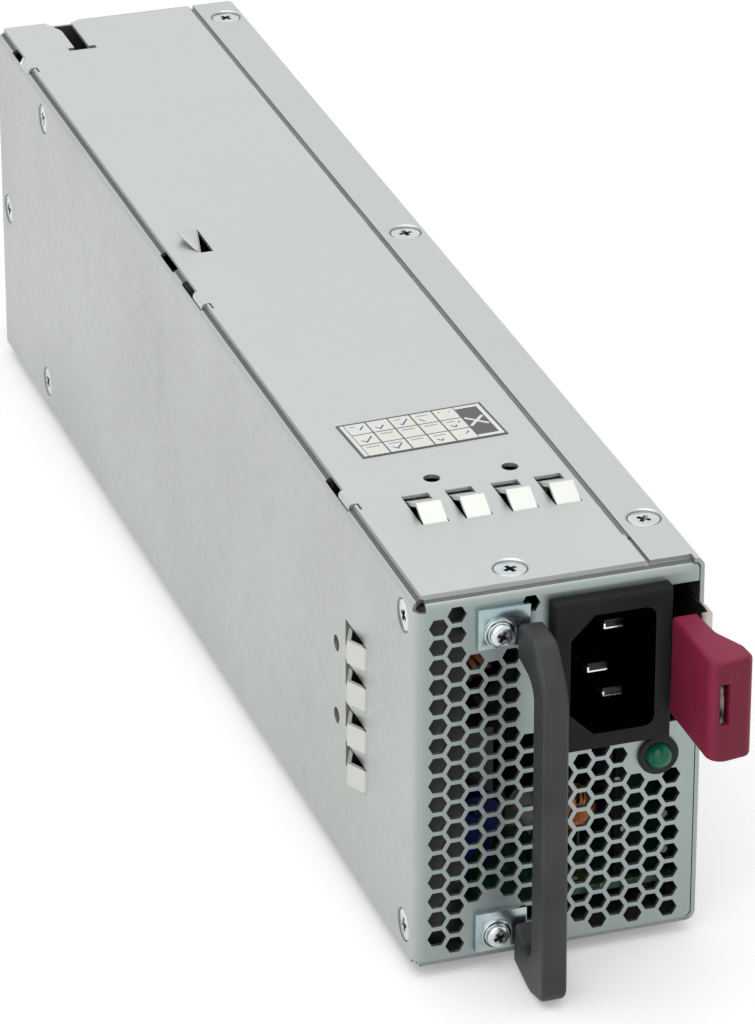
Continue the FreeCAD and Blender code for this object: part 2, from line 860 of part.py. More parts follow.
def front_openings():
    """Everything that is cut through the front panel."""
    through = (front - mm.margin, front + mm.gauge + mm.margin)
    comb_corner = (left + mm.comb_left * mm.spread_x, top - mm.comb_top)
    half_width = mm.socket_width / 2 + mm.inlet_wall
    half_height = mm.socket_height / 2 + mm.inlet_wall
    openings = [hexagons(FRONT_COLUMNS, mm.cell_pitch, mm.spread_x, fitted(mm.cell_size),
                         comb_corner, through),
                box((inlet_x - half_width, inlet_x + half_width), through,
                    (inlet_z - half_height, inlet_z + half_height)),
                box(opening_x, through, (mm.latch_opening_low, mm.latch_opening_high)),
                corner_trim(1, fold_top), corner_trim(-1, mm.gauge),
                panel_bore(led_x, led_z, mm.clip_barrel)]
    openings += [panel_bore(x, z, mm.screw_shank + mm.shank_gap) for x, z in HANDLE_SCREWS]
    return openings


def left_front_shell():
    """Left wall and front panel folded from one sheet, with folds that carry the cover."""
    radius = mm.bend_radius
    body = new_body()
    wall = [(left, 0.0), (left + mm.gauge, 0.0), (left + mm.gauge, fold_top - mm.gauge),
            (left + mm.wall_flange, fold_top - mm.gauge), (left + mm.wall_flange, fold_top),
            (left, fold_top)]
    pad(body, "XZ", wall, (front + radius, back))
    fold(body, "y", (left, fold_top), (left + mm.gauge, fold_top - mm.gauge))
    panel = [(front, mm.gauge), (front + mm.gauge, mm.gauge),
             (front + mm.gauge, fold_top - mm.gauge),
             (depth(mm.front_flange), fold_top - mm.gauge),
             (depth(mm.front_flange), fold_top), (front, fold_top)]
    pad(body, "YZ", panel, (left + radius, wall_inside - mm.fit_gap))
    fold(body, "x", (front, fold_top), (front + mm.gauge, fold_top - mm.gauge))
    corner = [(left, front), (left + radius, front), (left + radius, front + mm.gauge),
              (left + mm.gauge, front + mm.gauge), (left + mm.gauge, front + radius),
              (left, front + radius)]
    pad(body, "XY", corner, (mm.gauge, flange_top))
    fold(body, "z", (left, front), (left + mm.gauge, front + mm.gauge))
    fingers = []
    for z in SIDE_FINGERS:
        finger = new_body()
        profile = [(x, y) for y, x in finger_profile(left, -1)]
        pad(finger, "XY", profile, (z - mm.finger_width / 2, z + mm.finger_width / 2))
        fingers.append(finger)
    cuts = front_openings() + side_windows() + fold_slots()
    cuts += [countersink("-x", point) for point in SIDE_SCREWS]
    cuts.append(countersink("+z", COVER_SCREW))
    return node("left_front_shell", fused([without(body, cuts)] + fingers))


def right_bottom_shell():
    """Floor, right wall and top strip folded from one sheet."""
    body = new_body()
    floor_left = left + mm.gauge
    strip = right - mm.strip_width
    section = [(floor_left, 0.0), (right, 0.0), (right, top), (strip, top),
               (strip, fold_top), (wall_inside, fold_top), (wall_inside, mm.gauge),
               (floor_left + mm.gauge, mm.gauge), (floor_left + mm.gauge, mm.floor_flange),
               (floor_left, mm.floor_flange)]
    pad(body, "XZ", section, (front, back))
    fold(body, "y", (right, 0.0), (wall_inside, mm.gauge))
    fold(body, "y", (right, top), (wall_inside, fold_top))
    ear = (depth(mm.ear_setback), depth(mm.ear_setback + mm.ear_depth))
    pad(body, "YZ", rectangle(ear, (mm.gauge, flange_top)),
        (floor_left, floor_left + mm.gauge))
    edge = (floor_left - mm.margin, floor_left + mm.gauge)
    upright = (mm.gauge, top)
    cuts = [box((strip - mm.margin, right - mm.bend_radius),
                (front - mm.margin, depth(mm.cover_setback)), (fold_top, top + mm.margin)),
            box(edge, (front - mm.margin, ear[0]), upright),
            box(edge, (back - mm.gauge - mm.fit_gap, back + mm.margin), upright),
            box((wall_inside - mm.margin, right + mm.margin),
                (depth(mm.catch_front - mm.catch_gap),
                 depth(mm.catch_front + mm.catch_run + mm.catch_gap)),
                (mm.catch_low - mm.catch_side_gap, mm.catch_high + mm.catch_side_gap))]
    cuts += [countersink("-x", point) for point in FLANGE_SCREWS]
    cuts += [countersink("+z", point) for point in STRIP_SCREWS]
    cuts += [rod("+x", (wall_inside - mm.margin, depth(mm.arm_pivot), z), mm.rivet_radius,
                 mm.gauge + 2 * mm.margin) for z in rivet_heights()]
    return node("right_bottom_shell", without(body, cuts))


def rivet_heights():
    middle = (mm.arm_low + mm.arm_high) / 2
    return [middle - mm.rivet_spacing / 2, middle + mm.rivet_spacing / 2]


def key_slot():
    """Outline of the T-shaped slot that opens through the cover's rear edge."""
    middle = left + mm.slot_side
    end = back + mm.fit_gap
    bar = back - mm.slot_depth
    rows = [(-mm.slot_mouth_half, end), (-mm.slot_half, back - mm.slot_flare),
            (-mm.slot_half, bar), (-mm.slot_bar_half, bar), (-mm.slot_bar_half, bar - mm.slot_bar),
            (mm.slot_bar_half, bar - mm.slot_bar), (mm.slot_bar_half, bar), (mm.slot_half, bar),
            (mm.slot_half, back - mm.slot_lead), (mm.slot_mouth_half, end)]
    return [(middle + x, y) for x, y in rows]


def cover_lip(hook, edge):
    """Rounded lip that wraps from the cover's edge into a slot of the left wall's fold."""
    lip = new_body()
    reach = edge - mm.hook_wrap
    low = fold_top - mm.hook_dip
    start = hook + mm.hook_start
    pad(lip, "XZ", rectangle((reach, edge), (low, top)), (start, start + mm.hook_lip))
    rounded(lip, edges_along(lip.Shape, "y", [(reach, top)]), mm.gauge)
    return lip


def lip_slits(hook, edge):
    """Two thin slits that free the front end of a lip."""
    through = (fold_top - mm.margin, top + mm.margin)
    start = hook + mm.hook_start
    inner = edge + 2 * mm.slit_width
    return [box((edge - mm.margin, inner), (start - mm.slit_width, start), through),
            box((inner - mm.slit_width, inner), (hook, start), through)]


def top_panel():
    """Cover with lanced fingers, its right edge stepped down under the strip."""
    edge_left = left + mm.cover_overhang
    edge_right = right - mm.strip_width - mm.seam_gap
    step_from = depth(mm.front_flange + mm.gauge)
    under_strip = wall_inside - mm.bend_radius
    body = new_body()
    pad(body, "XZ", rectangle((edge_left, edge_right), (fold_top, top)),
        (depth(mm.cover_setback), step_from))
    lower = edge_right - mm.gauge
    upper = edge_right - mm.gauge / 2
    stepped = [(edge_left, fold_top), (lower, fold_top),
               (lower + mm.seam_step, fold_top - mm.gauge), (under_strip, fold_top - mm.gauge),
               (under_strip, fold_top), (upper + mm.seam_step, fold_top), (upper, top),
               (edge_left, top)]
    pad(body, "XZ", stepped, (step_from, back))
    cover = (fold_top - mm.gauge / 2, top)
    pocket(body, "XY", key_slot(), cover)
    flare = (left + mm.slot_side - mm.slot_half, back - mm.slot_flare)
    rounded(body, edges_along(body.Shape, "z", [flare]), mm.slot_corner)
    start = depth(mm.mark_front)
    mark = [(left + mm.mark_side + mm.mark_width, start + mm.mark_length),
            (left + mm.mark_side, start), (left + mm.mark_side + mm.mark_width, start)]
    pocket(body, "XY", mark, cover)
    cuts = top_windows() + [countersink("+z", point) for point in STRIP_SCREWS + [COVER_SCREW]]
    added = []
    for hook in HOOKS:
        cuts += lip_slits(hook, edge_left)
        added.append(cover_lip(hook, edge_left))
    for x in TOP_FINGERS:
        finger = new_body()
        pad(finger, "YZ", finger_profile(top, 1), (x - mm.finger_width / 2, x + mm.finger_width / 2))
        added.append(finger)
    return node("top_panel", fused([without(body, cuts)] + added))


def flanged_plate(plate, run, level):
    """Upright sheet across the case with a flange forwards along each wall."""
    floor_left = left + mm.gauge
    inner_left = floor_left + mm.gauge
    inner_right = wall_inside - mm.gauge
    body = new_body()
    plan = [(floor_left, plate), (floor_left, plate - run), (inner_left, plate - run),
            (inner_left, plate - mm.gauge), (inner_right, plate - mm.gauge),
            (inner_right, plate - run), (wall_inside, plate - run), (wall_inside, plate)]
    return pad(body, "XY", plan, level)


def rear_panel():
    """Rear sheet with the fan's vent and the slot for the card edge."""
    flange_low = mm.floor_flange + mm.bend_radius / 4
    body = flanged_plate(back, mm.rear_flange, (flange_low, flange_top))
    sheet = (back - mm.gauge, back)
    pad(body, "XZ", rectangle((left + mm.gauge, wall_inside - mm.bend_radius + mm.gauge),
                              (mm.gauge, flange_low)), sheet)
    pad(body, "XZ", rectangle((left + mm.wall_flange + mm.fit_gap,
                               right - mm.strip_width - mm.bend_radius),
                              (flange_top, fold_top)), sheet)
    through = (back - mm.gauge - mm.margin, back + mm.margin)
    slot_half = mm.tongue_width / 2 + mm.gauge
    tongue_low = mm.gauge + mm.standoff_height
    comb_corner = (-4.5 * COS30 * mm.rear_cell_pitch, mm.fan_height + 3.75 * mm.rear_cell_pitch)
    cuts = [hexagons(REAR_COLUMNS, mm.rear_cell_pitch, 1.0, mm.rear_cell_size, comb_corner,
                     through),
            box((-slot_half, slot_half), through,
                (tongue_low - mm.tongue_slot_gap, board_top + mm.tongue_slot_gap)),
            countersink("-x", BACK_SIDE_SCREW)]
    return node("rear_panel", without(body, cuts))


def fan_bracket():
    """Sheet bracket that hangs the fan between the walls."""
    body = flanged_plate(fan_end + mm.gauge, mm.fan_flange + mm.gauge,
                         (mm.floor_flange + mm.bend_radius / 4, flange_top))
    start = fan_end - mm.margin
    run = mm.gauge + 2 * mm.margin
    cuts = [rod("+y", (0.0, start, mm.fan_height), duct_radius, run),
            countersink("-x", FAN_SIDE_SCREW)]
    cuts += [rod("+y", (x, start, z), mm.screw_shank + mm.shank_gap, run)
             for x, z in fan_holes()]
    return node("fan_bracket", without(body, cuts))


def fan_holes():
    half = fitted(mm.fan_size - mm.fan_inset) / 2
    return [(sign_x * half, mm.fan_height + sign_z * half)
            for sign_x in (-1, 1) for sign_z in (-1, 1)]


def case_screws():
    node("top_screws", gathered([screw("+z", point, mm.top_screw_length)
                                 for point in STRIP_SCREWS + [COVER_SCREW]]))
    node("side_screws", gathered([screw("-x", point, mm.side_screw_length)
                                  for point in SIDE_SCREWS]))


LABEL_TURN = 2.8        # degrees; the sticker is set slightly askew


def rating_label():
    """Sticker on the cover."""
    sticker = doc.addObject("Part::Box", "Sticker")
    bind(sticker, "Length", fitted(mm.label_width))
    bind(sticker, "Width", mm.label_length)
    bind(sticker, "Height", mm.label_gauge)
    turn = FreeCAD.Rotation(FreeCAD.Vector(0, 0, 1), LABEL_TURN)
    place(sticker, (left + mm.label_side, depth(mm.label_front), top), turn)
    node("rating_label", sticker)


# ---------------------------------------------------------------- handle

def handle_bracket(name, low, screw_place):
    """Steel plate on the front panel with a tongue that the handle is moulded round."""
    plate = box(bracket_x, (front - mm.bracket_gauge, front), (low, low + mm.bracket_height))
    x, z = screw_place
    hole = rod("+y", (x, front - mm.bracket_gauge - mm.margin, z), mm.screw_shank + mm.shank_gap,
               mm.bracket_gauge + 2 * mm.margin)
    return node(name, without(fused([plate, tongue_box(low)]), [hole]))


def tongue_box(low):
    half = mm.bracket_gauge / 2
    return box((handle_x - half, handle_x + half),
               (front - mm.tongue_reach, front - mm.bracket_gauge), (low, low + mm.tongue_height))


def handle_grip():
    """Moulded handle: a bar down the front with an arm to each bracket."""
    root = front - mm.handle_root
    reach = front - mm.handle_reach
    inside = reach + mm.handle_bar
    arm_under = mm.handle_top - mm.handle_arm
    slope_foot = reach + 1.5
    outline = [(root, -0.8), (front - mm.handle_lower_run, -mm.handle_drop),
               (reach + 0.1, 1.5 - mm.handle_drop),
               (slope_foot, mm.handle_top - mm.handle_slope_drop),
               (slope_foot + mm.handle_slope, mm.handle_top), (root, mm.handle_top),
               (root, arm_under), (inside + 0.5, arm_under - 1.6),
               (inside, mm.handle_arm - 2.0), (front - mm.handle_inner_run, mm.handle_arm - 2.4),
               (root, mm.handle_arm + 0.5)]
    body = new_body()
    side = mm.handle_width / 2
    pad(body, "YZ", outline, (handle_x - side, handle_x + side))
    for corners, radius in (([outline[2]], 3.0), ([outline[3]], mm.handle_corner),
                            ([outline[1]], 4.0), ([outline[4], outline[7]], 4.0),
                            ([outline[8]], 2.5), ([outline[9]], 3.0)):
        rounded(body, edges_along(body.Shape, "x", corners), radius)
    rims = [name for level in (handle_x - side, handle_x + side)
            for name in face_edges(body.Shape, "x", level)
            if not on_plane(body.Shape, name, "y", root)]
    rounded(body, rims, mm.handle_edge)
    return node("handle_grip", without(body, [tongue_box(low) for low in bracket_lows]))


def handle_screws():
    """Washer-head screws through the brackets and the front panel."""
    screws = []
    for x, z in HANDLE_SCREWS:
        seat = front - mm.bracket_gauge
        head = rod("-y", (x, seat, z), mm.washer_head, mm.washer_head_height)
        shank = rod("+y", (x, seat, z), mm.screw_shank, mm.panel_screw_length)
        screws.append(fused([head, shank]))
    return node("handle_screws", gathered(screws))


# ---------------------------------------------------------------- mains inlet and lamp

def pin_places():
    """The blades as their middle and how far each tip is behind the front."""
    line = inlet_x + mm.pin_step / 2
    return [(line, inlet_z + mm.pin_pitch / 2, mm.pin_setback),
            (line, inlet_z - mm.pin_pitch / 2, mm.pin_setback), (line - mm.pin_step, inlet_z, 0.0)]


def pin_boxes():
    end = depth(mm.inlet_back + mm.pin_tail)
    return [box((x - mm.pin_wide / 2, x + mm.pin_wide / 2), (depth(tip), end),
                (z - mm.pin_thick / 2, z + mm.pin_thick / 2)) for x, z, tip in pin_places()]


def inlet_housing():
    """Appliance inlet: a bezel on the panel and a body with a keyed socket."""
    body = new_body()
    bezel = rectangle((inlet_x - mm.bezel_width / 2, inlet_x + mm.bezel_width / 2),
                      (inlet_z - mm.bezel_height / 2, inlet_z + mm.bezel_height / 2))
    pad(body, "XZ", bezel, (front - mm.bezel_depth, front))
    rounded(body, face_edges(body.Shape, "y", front - mm.bezel_depth), mm.bezel_edge)
    half_x = mm.socket_width / 2
    half_z = mm.socket_height / 2
    core = rectangle((inlet_x - half_x - mm.inlet_wall, inlet_x + half_x + mm.inlet_wall),
                     (inlet_z - half_z - mm.inlet_wall, inlet_z + half_z + mm.inlet_wall))
    pad(body, "XZ", core, (front, depth(mm.inlet_back)))
    key = mm.socket_corner
    socket = [(inlet_x - half_x, inlet_z - half_z + key), (inlet_x - half_x + key, inlet_z - half_z),
              (inlet_x + half_x, inlet_z - half_z), (inlet_x + half_x, inlet_z + half_z),
              (inlet_x - half_x + key, inlet_z + half_z), (inlet_x - half_x, inlet_z + half_z - key)]
    mouth = front - mm.bezel_depth
    pocket(body, "XZ", socket, (mouth, mouth + mm.socket_depth))
    return node("inlet_housing", without(body, pin_boxes()))


def inlet_pins():
    return node("inlet_pins", gathered(pin_boxes()))


def inlet_board():
    """Small filter board soldered to the inlet's tails."""
    start = depth(mm.inlet_back + mm.inlet_board_gap)
    half_width = mm.inlet_board_width / 2
    half_height = mm.inlet_board_height / 2
    plate = box((inlet_x - half_width, inlet_x + half_width), (start, start + mm.board_gauge),
                (inlet_z - half_height, inlet_z + half_height))
    return node("inlet_board", without(plate, pin_boxes()))


def lamp():
    """Status lamp in its clip, on a small upright board."""
    rim = rod("-y", (led_x, front, led_z), mm.clip_radius, mm.clip_rim)
    barrel = rod("+y", (led_x, front, led_z), mm.clip_barrel, mm.clip_reach)
    mouth = rod("+y", (led_x, front - mm.clip_rim - mm.margin, led_z), mm.led_radius,
                mm.clip_rim + mm.clip_reach + 2 * mm.margin)
    node("led_bezel", without(fused([rim, barrel]), [mouth]))
    stem = rod("+y", (led_x, front - mm.led_out, led_z), mm.led_radius, mm.led_length)
    dome = doc.addObject("Part::Sphere", "Dome")
    bind(dome, "Radius", mm.led_radius)
    place(dome, (led_x, front - mm.led_out, led_z))
    node("status_led", fused([stem, dome]))
    start = depth(mm.lamp_board_front)
    board = box((led_x - mm.lamp_board_side, wall_inside - mm.lamp_board_gap),
                (start, start + mm.board_gauge), (board_top, mm.led_height + mm.lamp_board_rise))
    node("indicator_board", board)


# ---------------------------------------------------------------- latch

arm_outside = wall_inside - mm.arm_gap
arm_inside = arm_outside - mm.arm_gauge
lever_left = right - mm.lever_from_right
slot_left = lever_left + mm.lever_slot_side
jog = front - mm.jog_depth


def latch_arm():
    """Spring leaf: riveted behind, a catch through the right wall, a tongue into the lever."""
    tail = depth(mm.arm_pivot + mm.arm_tail)
    clear = front - mm.flare_start
    step = front - mm.flare_end
    flare = mm.arm_flare
    tongue_left = slot_left + mm.tongue_gap
    jog_back = jog + mm.arm_gauge
    leaf = [(arm_outside, tail), (arm_outside, clear), (arm_outside + flare, step),
            (arm_outside + flare, jog), (tongue_left, jog), (tongue_left, jog_back),
            (arm_inside + flare, jog_back), (arm_inside + flare, step), (arm_inside, clear),
            (arm_inside, tail)]
    body = new_body()
    pad(body, "XY", leaf, (mm.arm_low, mm.arm_high))
    slot = (mm.lever_slot_low + mm.fit_gap, mm.lever_slot_high - mm.fit_gap)
    tongue = box((tongue_left, tongue_left + mm.arm_gauge),
                 (front - mm.lever_tip + mm.tongue_tip, jog_back), slot)
    notch_x = (tongue_left - mm.margin, lever_left + mm.lever_root_width + mm.slit_gap)
    notch_y = (jog - mm.fit_gap, jog_back + mm.fit_gap)
    trims = [box(notch_x, notch_y, (mm.arm_low - mm.margin, slot[0])),
             box(notch_x, notch_y, (slot[1], mm.arm_high + mm.margin))]
    trims += [rod("+x", (arm_inside - mm.margin, depth(mm.arm_pivot), z),
                  mm.rivet_radius + mm.fit_gap, mm.arm_gauge + 2 * mm.margin)
              for z in rivet_heights()]
    catch = new_body()
    catch_face = depth(mm.catch_front)
    wedge = [(arm_outside, depth(mm.catch_front + mm.catch_run)),
             (right + mm.catch_reach, catch_face), (arm_outside, catch_face)]
    pad(catch, "XY", wedge, (mm.catch_low, mm.catch_high))
    return node("latch_arm", fused([without(body, trims), tongue, catch]))


def latch_lever():
    """Moulded thumb lever on the end of the leaf."""
    root = front - mm.lever_root
    tip = front - mm.lever_tip
    tip_right = lever_left + mm.lever_tip_width
    outline = [(lever_left, root), (lever_left, tip), (tip_right, tip + mm.lever_tip_slope),
               (tip_right - 0.3, tip + mm.lever_tip_run),
               (lever_left + mm.lever_root_width + 0.6, root - mm.lever_waist_run),
               (lever_left + mm.lever_root_width, root)]
    body = new_body()
    pad(body, "XY", outline, (mm.lever_low, mm.lever_high))
    for corner, radius in ((outline[1], 3.0), (outline[2], 1.8), (outline[3], 2.5),
                           (outline[4], 6.0)):
        rounded(body, edges_along(body.Shape, "z", [corner]), radius)
    rounded(body, face_edges(body.Shape, "z", mm.lever_high), mm.lever_edge)
    rounded(body, face_edges(body.Shape, "z", mm.lever_low), mm.lever_edge)
    height = (mm.lever_slot_low, mm.lever_slot_high)
    slot = box((slot_left, slot_left + mm.lever_slot_width),
               (tip - mm.margin, root + mm.margin), height)
    slit = box((slot_left, lever_left + mm.lever_root_width + mm.margin),
               (jog - mm.slit_gap, jog + mm.arm_gauge + mm.slit_gap), height)
    return node("latch_lever", without(body, [slot, slit]))


def latch_rivets():
    """Rivets that hold the leaf to the right wall."""
    rivets = []
    for z in rivet_heights():
        shank = rod("-x", (right, depth(mm.arm_pivot), z), mm.rivet_radius,
                    right - arm_inside + mm.fit_gap)
        inner = rod("-x", (arm_inside - mm.fit_gap, depth(mm.arm_pivot), z), mm.rivet_head,
                    mm.rivet_inner_height)
        outer = rod("+x", (right, depth(mm.arm_pivot), z), mm.rivet_head, mm.rivet_outer_height)
        rivets.append(fused([shank, inner, outer]))
    return node("latch_rivets", gathered(rivets))


# ---------------------------------------------------------------- boards

STANDOFFS = [(side * (board_edge - mm.standoff_inset), along(distance))
             for side in (-1, 1)
             for distance in (mm.standoff_front, mm.standoff_middle, mm.standoff_back)]


def main_board():
    """Circuit board whose rear end is the card edge."""
    low = mm.gauge + mm.standoff_height
    shoulder = back - mm.gauge - mm.board_setback
    half = mm.tongue_width / 2
    outline = [(-board_edge, depth(mm.board_front)), (board_edge, depth(mm.board_front)),
               (board_edge, shoulder), (half, shoulder), (half, back + mm.tongue_out),
               (-half, back + mm.tongue_out), (-half, shoulder), (-board_edge, shoulder)]
    body = new_body()
    pad(body, "XY", outline, (low, board_top))
    holes = [rod("+z", (x, y, low - mm.margin), mm.screw_shank, mm.board_gauge + 2 * mm.margin)
             for x, y in STANDOFFS]
    return node("main_board", without(body, holes))


def edge_contacts():
    """Wide power contacts at both sides and narrow signal contacts between, on both faces."""
    low = mm.gauge + mm.standoff_height
    faces = [(low - mm.contact_gauge, low), (board_top, board_top + mm.contact_gauge)]
    end = back + mm.tongue_out - mm.contact_inset
    centres = [(side * place_x, mm.power_contact) for side in (-1, 1)
               for place_x in (mm.power_contact_outer, mm.power_contact_inner)]
    signals = 10
    centres += [((index - (signals - 1) / 2) * mm.signal_pitch, mm.signal_contact)
                for index in range(signals)]
    pads = [box((x - wide / 2, x + wide / 2), (end - mm.contact_length, end), z)
            for x, wide in centres for z in faces]
    return node("edge_contacts", gathered(pads))


def board_posts():
    """Standoffs on the floor and the screws that hold the board down on them."""
    posts = [rod("+z", (x, y, mm.gauge), mm.standoff_radius, mm.standoff_height)
             for x, y in STANDOFFS]
    bores = [rod("+z", (x, y, mm.gauge + mm.bore_floor), mm.screw_shank, mm.standoff_height)
             for x, y in STANDOFFS]
    node("board_standoffs", without(gathered(posts), bores))
    screws = []
    for x, y in STANDOFFS:
        head = rod("+z", (x, y, board_top), mm.pan_head, mm.pan_head_height)
        shank = rod("-z", (x, y, board_top), mm.screw_shank - mm.thread_gap,
                    mm.board_gauge + mm.standoff_height - mm.bore_floor - mm.thread_end)
        screws.append(fused([head, shank]))
    node("board_screws", gathered(screws))


def insulation():
    """Film under the board, and film along the left wall that turns in behind the vent."""
    sheet = box((-board_edge, board_edge), (depth(mm.board_front), back - mm.sheet_back),
                (mm.gauge, mm.gauge + mm.sheet_gauge))
    holes = [rod("+z", (x, y, mm.gauge - mm.margin), mm.standoff_radius + mm.sheet_gap,
                 mm.sheet_gauge + 2 * mm.margin) for x, y in STANDOFFS]
    node("insulation_sheet", without(sheet, holes))
    wall = left + 2 * mm.gauge + mm.sheet_gap
    start = depth(mm.insulator_front)
    end = fan_start - mm.insulator_gap
    body = new_body()
    plan = [(wall, start), (wall + mm.insulator_return, start),
            (wall + mm.insulator_return, start + mm.sheet_gauge),
            (wall + mm.sheet_gauge, start + mm.sheet_gauge), (wall + mm.sheet_gauge, end),
            (wall, end)]
    pad(body, "XY", plan, (mm.gauge + mm.sheet_gauge, fold_top - mm.insulator_gap))
    node("side_insulator", body)


# ---------------------------------------------------------------- power parts

def leg(x, y, low, high):
    """A square lead."""
    half = mm.lead / 2
    return box((x - half, x + half), (y - half, y + half), (low, high))


def upright_can(x, y, radius, height):
    """A capacitor can that stands on the board."""
    return rod("+z", (x, y, board_top), fitted(radius), fitted(height))


def fuse():
    """Tube fuse between two spring clips."""
    x = across(mm.fuse_across)
    start = along(mm.fuse_front)
    radius = fitted(mm.fuse_radius)
    length = fitted(mm.fuse_length)
    z = board_top + fitted(mm.fuse_lift)
    node("line_fuse", rod("+y", (x, start, z), radius, length))
    half = radius + mm.clip_wall
    clips = [box((x - half, x + half), (middle - mm.clip_length / 2, middle + mm.clip_length / 2),
                 (board_top, z + mm.clip_wall))
             for middle in (start + mm.clip_length / 2, start + length - mm.clip_length / 2)]
    barrel = rod("+y", (x, start - mm.margin, z), radius, length + 2 * mm.margin)
    node("fuse_clips", without(gathered(clips), [barrel]))


def front_capacitors():
    """Disc, film and electrolytic capacitors just behind the front vent."""
    radius = fitted(mm.disc_radius)
    thick = fitted(mm.disc_thick)
    middle = board_top + fitted(mm.disc_lift)
    discs = []
    for x, distance in ((mm.disc_outer, mm.disc_outer_front), (mm.disc_inner, mm.disc_inner_front)):
        y = along(distance)
        disc = rod("+y", (across(x), y, middle), radius, thick)
        legs = [leg(across(x) + side * radius / 2, y + thick / 2, board_top, middle)
                for side in (-1, 1)]
        discs.append(fused([disc] + legs))
    node("y_capacitors", gathered(discs))
    film_x = across(mm.film_across)
    film_y = along(mm.film_front)
    node("x_capacitor", box((film_x, film_x + fitted(mm.film_thick)),
                            (film_y, film_y + fitted(mm.film_length)),
                            (board_top, board_top + fitted(mm.film_height))))
    node("filter_capacitor", upright_can(right - mm.filter_can_side, along(mm.filter_can_depth),
                                         mm.small_can_radius, mm.small_can_height))


def ring(way, base, outer, inner, thick):
    """A ring about an axis, from its lower face."""
    start = moved(base, "-" + way[1], mm.margin)
    return without(rod(way, base, outer, thick), [rod(way, start, inner, thick + 2 * mm.margin)])


def wound_ring(name, way, base, outer, inner, thick, gaps):
    """A ring core with a layer of wire all round it, apart from the gaps."""
    build = fitted(mm.wire_build)
    node(name + "_core", ring(way, base, outer, inner, thick))
    wound = ring(way, moved(base, "-" + way[1], build), outer + build, inner - build,
                 thick + 2 * build)
    return without(wound, [ring(way, base, outer, inner, thick)] + gaps)


def mains_choke():
    """Large ring with two windings, standing on edge in a cradle behind the vent."""
    outer = fitted(mm.choke_radius)
    thick = fitted(mm.choke_thick)
    build = fitted(mm.wire_build)
    reach = outer + build
    x = across(mm.choke_across)
    y = along(mm.choke_front)
    z = board_top + fitted(mm.choke_lift)
    half_gap = mm.winding_gap / 2
    run = (y - build - mm.margin, y + thick + build + mm.margin)
    gap = box((x - half_gap, x + half_gap), run, (z - reach - mm.margin, z + reach + mm.margin))
    node("choke_windings",
         wound_ring("choke", "+y", (x, y, z), outer, fitted(mm.choke_bore), thick, [gap]))
    cradle = box((x - reach, x + reach), (y - build, y + thick + build),
                 (board_top, z - fitted(mm.cradle_drop)))
    seat = rod("+y", (x, run[0], z), reach, run[1] - run[0])
    inside = reach - mm.cradle_wall
    sill = board_top + mm.cradle_floor
    window = box((x - inside, x + inside), run, (sill, sill + fitted(mm.cradle_window)))
    node("choke_stand", without(cradle, [seat, window]))


def finned_sink(plate_x, y, height, fin_count):
    """Heatsink: an upright plate with fins on its right side."""
    plate = fitted(mm.sink_gauge)
    solids = [box((plate_x, plate_x + plate), y, (board_top, board_top + height))]
    for fin in range(fin_count):
        z = board_top + fitted(mm.fin_start + fin * mm.fin_pitch)
        solids.append(box((plate_x + plate, plate_x + plate + fitted(mm.fin_reach)), y,
                          (z, z + fitted(mm.fin_gauge))))
    return fused(solids)


def package(x, y, wide, tall, legs):
    """A transistor or rectifier case against a heatsink's left face, legs down to the board."""
    thick = fitted(mm.package_thick)
    low = board_top + fitted(mm.package_lift)
    wide = fitted(wide)
    solids = [box((x - thick, x), (y, y + wide), (low, low + fitted(tall)))]
    for index in range(legs):
        solids.append(leg(x - thick / 2, y + wide * (index + 1) / (legs + 1), board_top, low))
    return fused(solids)


def primary_side():
    """Boost choke, bulk capacitors and the first heatsink with what it cools."""
    sink_x = across(mm.primary_sink_across)
    start = along(mm.primary_sink_front)
    node("primary_heatsink", finned_sink(sink_x, (start, start + fitted(mm.primary_sink_length)),
                                         fitted(mm.primary_sink_height), 7))
    node("bridge_rectifier", package(sink_x, start + fitted(mm.bridge_start), mm.bridge_length,
                                     mm.package_height, 4))
    node("switching_transistors",
         gathered([package(sink_x, start + fitted(offset), mm.switch_length, mm.package_height, 3)
                   for offset in (mm.switch_start, mm.switch_start + mm.switch_pitch)]))
    build = fitted(mm.wire_build)
    outer = fitted(mm.boost_radius)
    thick = fitted(mm.boost_thick)
    x = across(mm.boost_across)
    y = along(mm.boost_depth)
    z = board_top + outer + build
    half_gap = mm.winding_gap / 2
    gap = box((x - build - mm.margin, x + thick + build + mm.margin), (y - half_gap, y + half_gap),
              (z, z + outer + build + mm.margin))
    node("boost_choke_winding",
         wound_ring("boost_choke", "+x", (x, y, z), outer, outer / 2, thick, [gap]))
    node("bulk_capacitors",
         gathered([upright_can(across(mm.can_across), along(distance), mm.can_radius, mm.can_height)
                   for distance in (mm.can_depth, mm.can_depth + mm.can_pitch)]))


def transformer():
    """Two E cores closed to a window frame, with the bobbin round the middle leg."""
    x = across(mm.core_across)
    y = along(mm.core_front)
    half = fitted(mm.core_width) / 2
    thick = fitted(mm.core_thick)
    yoke = fitted(mm.core_yoke)
    leg_half = fitted(mm.core_leg) / 2
    low = board_top
    high = board_top + fitted(mm.core_height)
    body = new_body()
    pad(body, "XZ", rectangle((x - half, x + half), (low, high)), (y, y + thick))
    windows = ((x - half + yoke, x - leg_half), (x + leg_half, x + half - yoke))
    for window in windows:
        pocket(body, "XZ", rectangle(window, (low + yoke, high - yoke)), (y, y + thick))
    node("transformer_core", body)
    reach = half - yoke - mm.bobbin_gap
    outer = box((x - reach, x + reach), (y - reach + leg_half, y + thick + reach - leg_half),
                (low + yoke + mm.bobbin_gap, high - yoke - mm.bobbin_gap))
    inner = box((x - leg_half, x + leg_half), (y, y + thick), (low, high))
    node("transformer_winding", without(outer, [inner]))


